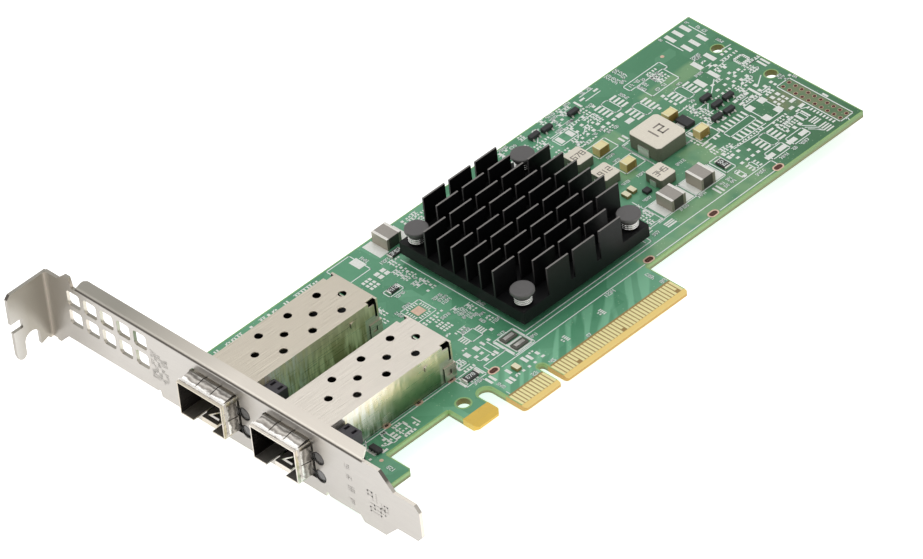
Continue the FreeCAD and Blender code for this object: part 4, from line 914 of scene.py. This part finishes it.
HEADER_HOLES = tuple((106.8 - 2.0 * i, 33.75 - 2.0 * j) for i in range(2) for j in range(10))


def covered_boxes():
    """Plan boxes, in millimetres, that CAD parts stand on."""
    out = []
    for name, made in frame["nodes"].items():
        if name in ("circuit_board", "bracket", "edge_contacts_component_side",
                    "edge_contacts_solder_side", "ground_tab_plating"):
            continue
        for island in islands(made.data):
            xs, ys = [p[0] for p in island], [p[1] for p in island]
            out.append((min(xs), max(xs), min(ys), max(ys)))
    return out


def middle(values):
    """Halfway between the least and the greatest."""
    return (min(values) + max(values)) / 2


def islands(mesh):
    """Corner points of each separate solid in a mesh, in millimetres."""
    bm = bmesh.new()
    bm.from_mesh(mesh)
    bmesh.ops.remove_doubles(bm, verts=bm.verts, dist=0.002 * MM)
    seen, out = set(), []
    for start in bm.verts:
        if start.index in seen:
            continue
        seen.add(start.index)
        reach, stack = [], [start]
        while stack:
            v = stack.pop()
            reach.append(tuple(c / MM for c in v.co))
            for edge in v.link_edges:
                w = edge.other_vert(v)
                if w.index not in seen:
                    seen.add(w.index)
                    stack.append(w)
        out.append(reach)
    bm.free()
    return out


def clear_of(boxes, x, y, w, d, margin=0.25):
    for x0, x1, y0, y1 in boxes:
        if x0 - margin < x + w / 2 and x - w / 2 < x1 + margin:
            if y0 - margin < y + d / 2 and y - d / 2 < y1 + margin:
                return False
    return True


def on_board(x, y, margin=0.6):
    """True over the board's plain area, clear of its edges and header."""
    lo, hi = BOARD_LO / MM, BOARD_HI / MM
    inside = lo.x + margin < x < hi.x - margin and y < hi.y - margin
    lowest = 7.6 if -12.6 < x < 39.0 else 13.8       # the board reaches lower at the contact tongue
    header = 103.2 < x < 108.6 and 14.0 < y < 35.4
    return inside and y > lowest and not header


def footprint_boxes():
    """Plan boxes of the listed footprints, which the small pads leave free."""
    out = [(x - 3.9, x + 3.9, y - 2.8, y + 2.8) for x, y in EIGHT_PIN]
    for (x, y), w, d in ((FOURTEEN_PIN, 9.0, 7.8), (CORNER_PADS, 6.0, 7.2), (SMALL_EIGHT, 7.4, 3.8),
                         ((-3.9, 42.2), 6.0, 6.0), ((106.1, 48.2), 3.8, 3.4)):
        out.append((x - w / 2, x + w / 2, y - d / 2, y + d / 2))
    out += [(x - 1.3, x + 1.3, y - 1.1, y + 1.1) for x, y in OVAL_HOLES]
    out += [(x - HOLE_REACH, x + HOLE_REACH, y - HOLE_REACH, y + HOLE_REACH)
            for x, y in mounting_holes()]
    out += [(x - 1.0, x + 1.0, y - 0.8, y + 0.8) for x, y in CAGE_PIN_RINGS + SIGHT_MARKS]
    out += [(x - n * h * 0.43, x + n * h * 0.43, y - h / 2, y + h / 2) for n, x, y, h in NUMBERS]
    out += [(x - w / 2, x + w / 2, y - d / 2, y + d / 2) for x, y, w, d in LONE_PADS]
    for x, y, dx, dy, count, w, d in PAD_ROWS:
        ex, ey = x + dx * (count - 1), y + dy * (count - 1)
        out.append((min(x, ex) - w / 2, max(x, ex) + w / 2, min(y, ey) - d / 2, max(y, ey) + d / 2))
    return out


def eight_pin(pads, lines, x, y, width):
    """Eight pads in two columns, about a printed outline w and d each way with corners cut by c."""
    for i in range(4):
        for side in (-1, 1):
            pads.plate(x + side * 2.45, y + 1.91 - 1.27 * i, 2.1, 0.66)
    w, d, c = 1.15, 2.45, 0.45
    lines.stroke([(x - w + c, y - d), (x + w - c, y - d), (x + w, y - d + c), (x + w, y + d - c),
                  (x + w - c, y + d), (x - w + c, y + d), (x - w, y + d - c), (x - w, y - d + c),
                  (x - w + c, y - d)], width)


def scattered_pads(pads, lines, width):
    """Fills the crowded areas with pairs of pads, some framed in print."""
    taken = covered_boxes() + footprint_boxes()
    draw = random.Random(7)
    across, down = 1.8, 1.05         # room for one pair, in millimetres
    for x0, x1, y0, y1, share in CROWDED:
        rows, columns = int((y1 - y0) / down), int((x1 - x0) / across)
        for i in range(columns):
            for j in range(rows):
                chance, tall, framed = draw.random(), draw.random(), draw.random()
                x, y = x0 + across * (i + 0.5), y0 + down * (j + 0.5)
                if chance > share or not on_board(x, y) or not clear_of(taken, x, y, 1.6, 0.85, 0.05):
                    continue
                taken.append((x - 0.8, x + 0.8, y - 0.42, y + 0.42))
                if tall < 0.3:
                    spots = ((x - 0.4, y, 0.4, 0.75), (x + 0.4, y, 0.4, 0.75))
                elif tall < 0.75:
                    spots = ((x - 0.42, y, 0.52, 0.5), (x + 0.42, y, 0.52, 0.5))
                else:
                    spots = ((x, y, 0.7, 0.7),)
                for spot in spots:
                    pads.plate(*spot)
                if framed < 0.3:
                    lines.stroke([(x - 0.85, y + 0.46), (x + 0.85, y + 0.46)], width * 0.7)
                    lines.stroke([(x - 0.85, y - 0.46), (x + 0.85, y - 0.46)], width * 0.7)
                elif framed < 0.5:
                    lines.stroke([(x - 0.7, y - 0.35), (x + 0.1, y + 0.4)], width * 0.7)


# -------------------------------------------------------------- operators
class CARD_OT_finishes(bpy.types.Operator):
    """Makes the finishes and puts one on every node of the frame"""

    bl_idname = "card.finishes"
    bl_label = "Finishes"

    def execute(self, context):
        FINISHES.update(make_finishes())
        for name, node in frame["nodes"].items():
            node.data.materials.clear()
            node.data.materials.append(FINISHES[node_slot(name)])
        return {"FINISHED"}


class CARD_OT_board_print(bpy.types.Operator):
    """Lays the pads, printed outlines and plain numbers on the board"""

    bl_idname = "card.board_print"
    bl_label = "Board print"

    def execute(self, context):
        width = context.scene.card_board.print_width / MM
        pads = Relief(TOP + SKIN, TOP + SKIN + 0.03)
        lines = Relief(TOP + SKIN, TOP + SKIN + 0.02)
        for x, y in EIGHT_PIN:
            eight_pin(pads, lines, x, y, width)
        x, y = FOURTEEN_PIN
        lines.frame_line(x - 4.25, x + 4.25, y - 1.1, y + 1.1, width)
        for i in range(7):
            for side in (-1, 1):
                pads.plate(x - 3.84 + 1.28 * i, y + side * 2.45, 0.55, 2.1)
        x, y = CORNER_PADS
        for dx in (-1.95, 1.95):
            for dy in (-2.6, 2.6):
                pads.plate(x + dx, y + dy, 1.85, 1.95)
        x, y = SMALL_EIGHT
        lines.frame_line(x - 1.7, x + 1.7, y - 1.65, y + 1.65, width)
        for i in range(4):
            for side in (-1, 1):
                pads.plate(x + side * 2.65, y + 1.1 - 0.72 * i, 1.5, 0.42)
        for x, y, reach, count in QUAD_PADS:
            for i in range(count):
                along = reach * (2 * i / (count - 1) - 1) * 0.67
                for side in (-1, 1):
                    pads.plate(x + along, y + side * reach, 0.34, 0.8)
                    pads.plate(x + side * reach, y + along, 0.8, 0.34)
        for spot in LONE_PADS:
            pads.plate(*spot)
        for x, y, dx, dy, count, w, d in PAD_ROWS:
            for i in range(count):
                pads.plate(x + dx * i, y + dy * i, w, d)
        scattered_pads(pads, lines, width)
        for x0, x1, y0, y1 in PRINTED_FRAMES:
            lines.frame_line(x0, x1, y0, y1, width)
        for points in PRINTED_LINES:
            lines.stroke(points, width)
        run = running_digits()
        for count, x, y, height in NUMBERS:
            lines.number(run(count), x, y, height, width * 0.75)
        for count, x, y, height in UPRIGHT_NUMBERS:
            lines.number(run(count), x, y, height, width * 0.75, upright=True)
        pads.piece("solder_pads", "pads", "tin_plate")
        lines.piece("printed_lines", "print", "board_laminate")
        return {"FINISHED"}


class CARD_OT_copper_rings(bpy.types.Operator):
    """Bare copper: rings at the oval holes, cage pins and header holes, sight marks, one square pad; and
    dark red-brown discs over the holes, painted shade of their insides
    """

    bl_idname = "card.copper_rings"
    bl_label = "Copper rings"

    def execute(self, context):
        rings = Relief(TOP + SKIN, TOP + SKIN + 0.03)
        # painted shade: dark red-brown discs over the through holes stand for the shade inside them
        shade_discs = Relief(TOP + SKIN, TOP + SKIN + 0.01)
        for x, y in OVAL_HOLES:
            rings.ring(x, y, 0.68, 1.05, 0.9)
            shade_discs.ring(x, y, 0.02, 0.68, 0.9)
        for x, y in CAGE_PIN_RINGS:
            rings.ring(x, y, 0.42, 0.95, 0.4)
            shade_discs.ring(x, y, 0.02, 0.42, 0.4)
        for x, y in HEADER_HOLES:
            rings.ring(x, y, 0.45, 0.54, sides=12)
            shade_discs.ring(x, y, 0.02, 0.45, sides=12)
        for x, y in SIGHT_MARKS:
            rings.disc(x, y, 0.5)
        x, y = QUAD_PADS[0][:2]
        rings.plate(x, y, 2.6, 2.6)
        rings.piece("copper_rings", "copper", "gold_plating")
        shade_discs.piece("hole_shade_discs", "dark_liner", "board_laminate")
        return {"FINISHED"}


class CARD_OT_board_rim(bpy.types.Operator):
    """Pale strip, free of solder mask, along the outline of the board and round its large holes"""

    bl_idname = "card.board_rim"
    bl_label = "Board rim"

    def execute(self, context):
        rim = Relief(TOP + 0.002, TOP + SKIN - 0.002)
        for a, b, inward in outline_edges(frame["nodes"]["circuit_board"].data):
            wide = 0.45 if 7.0 < a.y < 20.0 and a.x < 70.0 else 0.28
            c, d = b + inward * wide, a + inward * wide
            ring = [(p.x, p.y) for p in (a, b, c, d)]
            if (b - a).cross(inward) < 0:
                ring.reverse()
            rim.prism(ring)
        rim.piece("board_rim", "bare_edge", "board_laminate")
        return {"FINISHED"}


def outline_edges(mesh):
    """Ends and inward direction of each edge of the board's top face that bounds it, in millimetres."""
    bm = bmesh.new()
    bm.from_mesh(mesh)
    bmesh.ops.remove_doubles(bm, verts=bm.verts, dist=0.002 * MM)
    top = {f for f in bm.faces if f.normal.z > 0.9 and f.calc_center_median().z / MM > TOP - 0.1}
    edges = [e for e in bm.edges if len(top.intersection(e.link_faces)) == 1]
    at = {}
    for edge in edges:
        for v in edge.verts:
            at.setdefault(v, []).append(edge)
    seen, out = set(), []
    for start in edges:
        loop, stack = [], [start]
        while stack:
            edge = stack.pop()
            if edge in seen:
                continue
            seen.add(edge)
            loop.append(edge)
            stack += [e for v in edge.verts for e in at[v]]
        xs = [v.co.x / MM for e in loop for v in e.verts]
        if not loop or max(xs) - min(xs) < 2.9:
            continue
        for edge in loop:
            a, b = ((v.co / MM).to_2d() for v in edge.verts)
            face = top.intersection(edge.link_faces).pop()
            rest = next(v for v in face.verts if v not in edge.verts)
            across = Vector((a.y - b.y, b.x - a.x)).normalized()
            inward = across if across.dot((rest.co / MM).to_2d() - a) > 0 else -across
            contacts = max(a.y, b.y) < 6.0 and a.x > -24.0
            if not contacts and (b - a).length > 0.01:
                out.append((a, b, inward))
    bm.free()
    return out


class CARD_OT_rounded_parts(bpy.types.Operator):
    """Rounds the edges of the folded, moulded and pressed parts"""

    bl_idname = "card.rounded_parts"
    bl_label = "Rounded parts"

    def execute(self, context):
        sheet = context.scene.card_metal.edge_round / MM
        rounds = {"bracket": sheet, "large_inductor_body": 0.3, "small_inductor_bodies": 0.15,
                  "large_capacitor_bodies": 0.08, "tan_capacitor_bodies": 0.12,
                  "transistor_bodies": 0.12, "power_diode": 0.15, "resistor_bodies": 0.06,
                  "resistor_ends": 0.08, "small_driver_chip": 0.08, "bracket_screws": 0.12}
        for i in (1, 2):
            rounds["port_cage_shell_%d" % i] = 0.12
            rounds["light_pipe_holder_%d" % i] = 0.15
            rounds["light_pipes_%d" % i] = 0.2
        for node, width in rounds.items():
            softened(node, width)
        softened("large_capacitor_ends", 0.15, finish="capacitor_ends")
        softened("tan_capacitor_ends", 0.1, finish="tan_ends")
        softened("small_chip_capacitors", 0.1, finish="small_ceramic")
        softened("shunt_bodies", 0.05, finish="shunt_grey")
        return {"FINISHED"}


class CARD_OT_heatsink_pins(bpy.types.Operator):
    """Turned heads and round-wire coils of the four heatsink pins"""

    bl_idname = "card.heatsink_pins"
    bl_label = "Heatsink pins"

    def execute(self, context):
        user = context.scene.card_cooling
        heads, coils = [], []
        coil_lo, coil_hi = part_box("heatsink_springs")
        for island in islands(frame["nodes"]["heatsink_pins"].data):
            xs, ys, zs = zip(*island)
            x, y = middle(xs), middle(ys)
            r, top = (max(xs) - min(xs)) / 2, max(zs)
            seat, rim = coil_hi.z / MM, top - 0.9
            profile = [(1.08, min(zs)), (1.08, seat), (2.1, seat), (2.25, seat + 0.15), (2.25, rim),
                       (r - 0.15, rim), (r, rim + 0.12), (r, top - 0.25), (r - 0.08, top - 0.08),
                       (r - 0.3, top), (r - 0.5, top - 0.02), (0.3, top - 0.06)]
            heads.append(lathe(profile, x, y, 40))
            coils.append(swept(coil_path(x, y, coil_lo.z, coil_hi.z, user), user.coil_wire, 8))
        pins = finished_piece("turned_pins", mesh_from("turned_pins", heads), "pin_plastic",
                              smooth=True)
        pins.modifiers.new("weighted_shading", "WEIGHTED_NORMAL")
        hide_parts("heatsink_pins")
        wire = finished_piece("spring_coils", mesh_from("spring_coils", coils), "spring_wire",
                              smooth=True)
        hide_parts("heatsink_springs")
        return {"FINISHED"}


def coil_path(x, y, z0, z1, user):
    """Helix in metres under a pin head, from z0 to z1 in metres, about x, y in millimetres."""
    per_turn, r = 20, 1.95
    steps, turn = user.coil_turns * per_turn, 2 * math.pi / per_turn
    rise = (z1 - z0 - 2 * user.coil_wire) / steps
    return [Vector(((x + r * math.cos(turn * i)) * MM, (y + r * math.sin(turn * i)) * MM,
                    z0 + user.coil_wire + rise * i)) for i in range(steps + 1)]


class CARD_OT_transistor_leads(bpy.types.Operator):
    """Bent leads of the small transistors"""

    bl_idname = "card.transistor_leads"
    bl_label = "Transistor leads"

    def execute(self, context):
        parts = []
        for island in islands(frame["nodes"]["transistor_leads"].data):
            xs, ys, zs = zip(*island)
            parts.append((min(xs), max(xs), min(ys), max(ys), min(zs)))
        bodies = islands(frame["nodes"]["transistor_bodies"].data)
        centres = [(sum(p[0] for p in b) / len(b), sum(p[1] for p in b) / len(b)) for b in bodies]
        shapes = []
        for x0, x1, y0, y1, z0 in parts:
            cx, cy = (x0 + x1) / 2, (y0 + y1) / 2
            body = min(centres, key=lambda c: (c[0] - cx) ** 2 + (c[1] - cy) ** 2)
            if y1 - y0 > x1 - x0:
                shapes.append(bent_lead(x0, x1, y0, y1, z0, cy > body[1]))
            else:
                verts, faces = bent_lead(y0, y1, x0, x1, z0, cx > body[0])
                shapes.append(([Vector((v.y, v.x, v.z)) for v in verts], faces))
        made = finished_piece("bent_leads", mesh_from("bent_leads", shapes), "tin_plate")
        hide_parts("transistor_leads")
        return {"FINISHED"}


def bent_lead(x0, x1, y0, y1, z0, outward_up):
    """One gull-wing lead, as points and faces in metres."""
    near, far = (y0, y1) if outward_up else (y1, y0)
    run = far - near
    t, top = 0.13, z0 + 0.45         # thickness, and height where it enters the body
    profile = [(near - 0.05 * run, top), (near + 0.25 * run, top), (near + 0.5 * run, z0 + t),
               (far, z0 + t), (far, z0), (near + 0.38 * run, z0), (near + 0.15 * run, top - t),
               (near - 0.05 * run, top - t)]
    n = len(profile)
    verts = [Vector((x, y, z)) * MM for x in (x0, x1) for y, z in profile]
    faces = [tuple(range(n - 1, -1, -1)), tuple(range(n, 2 * n))]
    faces += [(i, (i + 1) % n, n + (i + 1) % n, n + i) for i in range(n)]
    return verts, faces


class CARD_OT_part_marks(bpy.types.Operator):
    """Plain numbers on the inductors and resistors"""

    bl_idname = "card.part_marks"
    bl_label = "Part marks"

    def execute(self, context):
        marks = []
        run = running_digits()
        for node, count, height, name in (("large_inductor_body", 2, 2.9, "large_inductor_mark"),
                                          ("small_inductor_bodies", 3, 1.5, "small_inductor_marks")):
            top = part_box(node)[1].z / MM
            relief = Relief(top + 0.004, top + 0.03)
            for island in islands(frame["nodes"][node].data):
                xs, ys, zs = zip(*island)
                relief.number(run(count), middle(xs), middle(ys), height, height * 0.14)
            marks.append((relief, name, "mark_ink"))
        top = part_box("resistor_bodies")[1].z / MM
        relief = Relief(top + 0.004, top + 0.02)
        for island in islands(frame["nodes"]["resistor_bodies"].data):
            xs, ys, zs = zip(*island)
            upright = max(ys) - min(ys) > max(xs) - min(xs)
            relief.number(run(3), middle(xs), middle(ys), 0.95, 0.2, upright)
        marks.append((relief, "resistor_marks", "print"))
        for relief, name, finish in marks:
            relief.piece(name, finish, "resistor_black")
        return {"FINISHED"}


class CARD_OT_bracket_marks(bpy.types.Operator):
    """Plain numbers stamped on the bracket's face, on its tail and in a block by the vents"""

    bl_idname = "card.bracket_marks"
    bl_label = "Bracket marks"

    def execute(self, context):
        marks = Relief(0.004, 0.03)
        run = running_digits()
        for count, y, z, height, upright in STAMPED:
            marks.number(run(count), -y, z, height, height * 0.17, upright)
        marks.points = [(BRACKET_FACE - w, -u, v) for u, v, w in marks.points]
        marks.piece("bracket_marks", "stamped_mark", "bracket_steel")
        return {"FINISHED"}


class CARD_OT_lens_rings(bpy.types.Operator):
    """Dark rims round the status lenses in the bracket, standing for the shaded gap round each lens: painted
    shade
    """

    bl_idname = "card.lens_rings"
    bl_label = "Lens rings"

    def execute(self, context):
        rims = []
        for node in ("light_pipes_1", "light_pipes_2"):
            for island in islands(frame["nodes"][node].data):
                xs, ys, zs = zip(*[p for p in island if p[0] < min(q[0] for q in island) + 0.05])
                # painted shade: a black ring just inside the bracket face, where the gap round the lens lies
                # in shade
                x, y, z = BRACKET_FACE + 0.08, middle(ys), middle(zs)
                r = (max(ys) - min(ys)) / 2 - 0.05
                sides = 32
                turn = 2 * math.pi / sides
                path = [Vector((x, y + r * math.cos(turn * i), z + r * math.sin(turn * i))) * MM
                        for i in range(sides + 1)]
                rims.append(swept(path, 0.13 * MM, 8, closed_ends=False))
        mesh = mesh_from("lens_rings", rims)
        finished_piece("lens_rings", mesh, "connector_plastic", smooth=True)
        return {"FINISHED"}


FLOOR_GLOW, SKY_GLOW = 0.7, 0.5      # strength of the light that floor and sky give off
# Area lights: name, place from the card's middle and size in metres, power in watts.
LIGHTS = (("overhead", (0.05, 0.25, 0.9), 1.1, 3.6), ("left", (-0.95, 0.05, 0.45), 0.7, 0.9),
          ("front", (-0.15, -1.0, 0.5), 0.6, 0.3))
AIM = (9.88, 42.445, TOP)            # where the camera looks, in millimetres
CAMERA_DISTANCE = 1.9257             # from there, in metres


class CARD_OT_stage(bpy.types.Operator):
    """Pale floor, soft lights and the camera"""

    bl_idname = "card.stage"
    bl_label = "Stage"

    def execute(self, context):
        user = context.scene.card_stage
        lo, hi = CAD_BOX
        centre = (lo + hi) / 2
        bpy.ops.mesh.primitive_plane_add(size=6.0, location=(centre.x, centre.y, lo.z - 0.0001))
        floor = context.object
        floor.name = "pale_floor"
        ground = Finish("pale_floor", tuple(user.floor_colour), 0.9)
        ground.mottled(0.002, 0.995, 1.0, 0.02, 0.00001, 0.02)
        ground.shader.inputs["Emission Color"].default_value = (1, 1, 1, 1)
        ground.shader.inputs["Emission Strength"].default_value = FLOOR_GLOW
        floor.data.materials.append(ground.material)
        world = context.scene.world or bpy.data.worlds.new("studio")
        context.scene.world = world
        world.use_nodes = True
        sky = world.node_tree.nodes["Background"]
        sky.inputs[0].default_value = (1, 1, 1, 1)
        sky.inputs[1].default_value = SKY_GLOW
        for name, where, size, power in LIGHTS:
            lamp = bpy.data.objects.new(name + "_light", bpy.data.lights.new(name, "AREA"))
            context.scene.collection.objects.link(lamp)
            lamp.data.size, lamp.data.energy = size, power
            lamp.location = centre + Vector(where)
            lamp.rotation_mode = "QUATERNION"
            lamp.rotation_quaternion = (centre - lamp.location).to_track_quat("-Z", "Y")
        self.place_camera(context, user)
        context.scene.view_settings.view_transform = "Standard"
        return {"FINISHED"}

    def place_camera(self, context, user):
        """Looks at a point on the component face, just inside the heatsink's edge nearest the bracket."""
        camera = bpy.data.objects.new("camera", bpy.data.cameras.new("camera"))
        context.scene.collection.objects.link(camera)
        aim = Vector(AIM) * MM
        a, e = user.azimuth, user.elevation
        back = Vector((math.sin(a) * math.cos(e), -math.cos(a) * math.cos(e), math.sin(e)))
        camera.data.lens, camera.data.sensor_width = user.lens, 36.0
        camera.data.clip_start, camera.data.clip_end = 0.05, 50.0
        camera.location = aim + back * CAMERA_DISTANCE
        camera.rotation_mode = "QUATERNION"
        turn = Quaternion((0, 0, 1), -user.roll)
        camera.rotation_quaternion = (-back).to_track_quat("-Z", "Y") @ turn
        context.scene.camera = camera


OPERATORS = (CARD_OT_finishes, CARD_OT_board_print, CARD_OT_copper_rings, CARD_OT_board_rim,
             CARD_OT_rounded_parts, CARD_OT_heatsink_pins, CARD_OT_transistor_leads, CARD_OT_part_marks,
             CARD_OT_bracket_marks, CARD_OT_lens_rings, CARD_OT_stage)


class CARD_PT_panel(bpy.types.Panel):
    bl_label = "Network card"
    bl_idname = "CARD_PT_panel"
    bl_space_type = "VIEW_3D"
    bl_region_type = "UI"
    bl_category = "Card"

    def draw(self, context):
        for group in GROUPS:
            values = getattr(context.scene, group)
            block = self.layout.box()
            for key in values.__annotations__:
                block.prop(values, key)
        for operator in OPERATORS:
            self.layout.operator(operator.bl_idname)


def register():
    for name, group in GROUPS.items():
        bpy.utils.register_class(group)
        setattr(bpy.types.Scene, name, PointerProperty(type=group))
    for made in (*OPERATORS, CARD_PT_panel):
        bpy.utils.register_class(made)


def unregister():
    for made in (CARD_PT_panel, *reversed(OPERATORS)):
        bpy.utils.unregister_class(made)
    for name, group in GROUPS.items():
        delattr(bpy.types.Scene, name)
        bpy.utils.unregister_class(group)


def main():
    register()
    for operator in OPERATORS:
        group, name = operator.bl_idname.split(".")
        getattr(getattr(bpy.ops, group), name)()


if __name__ == "__main__":
    main()
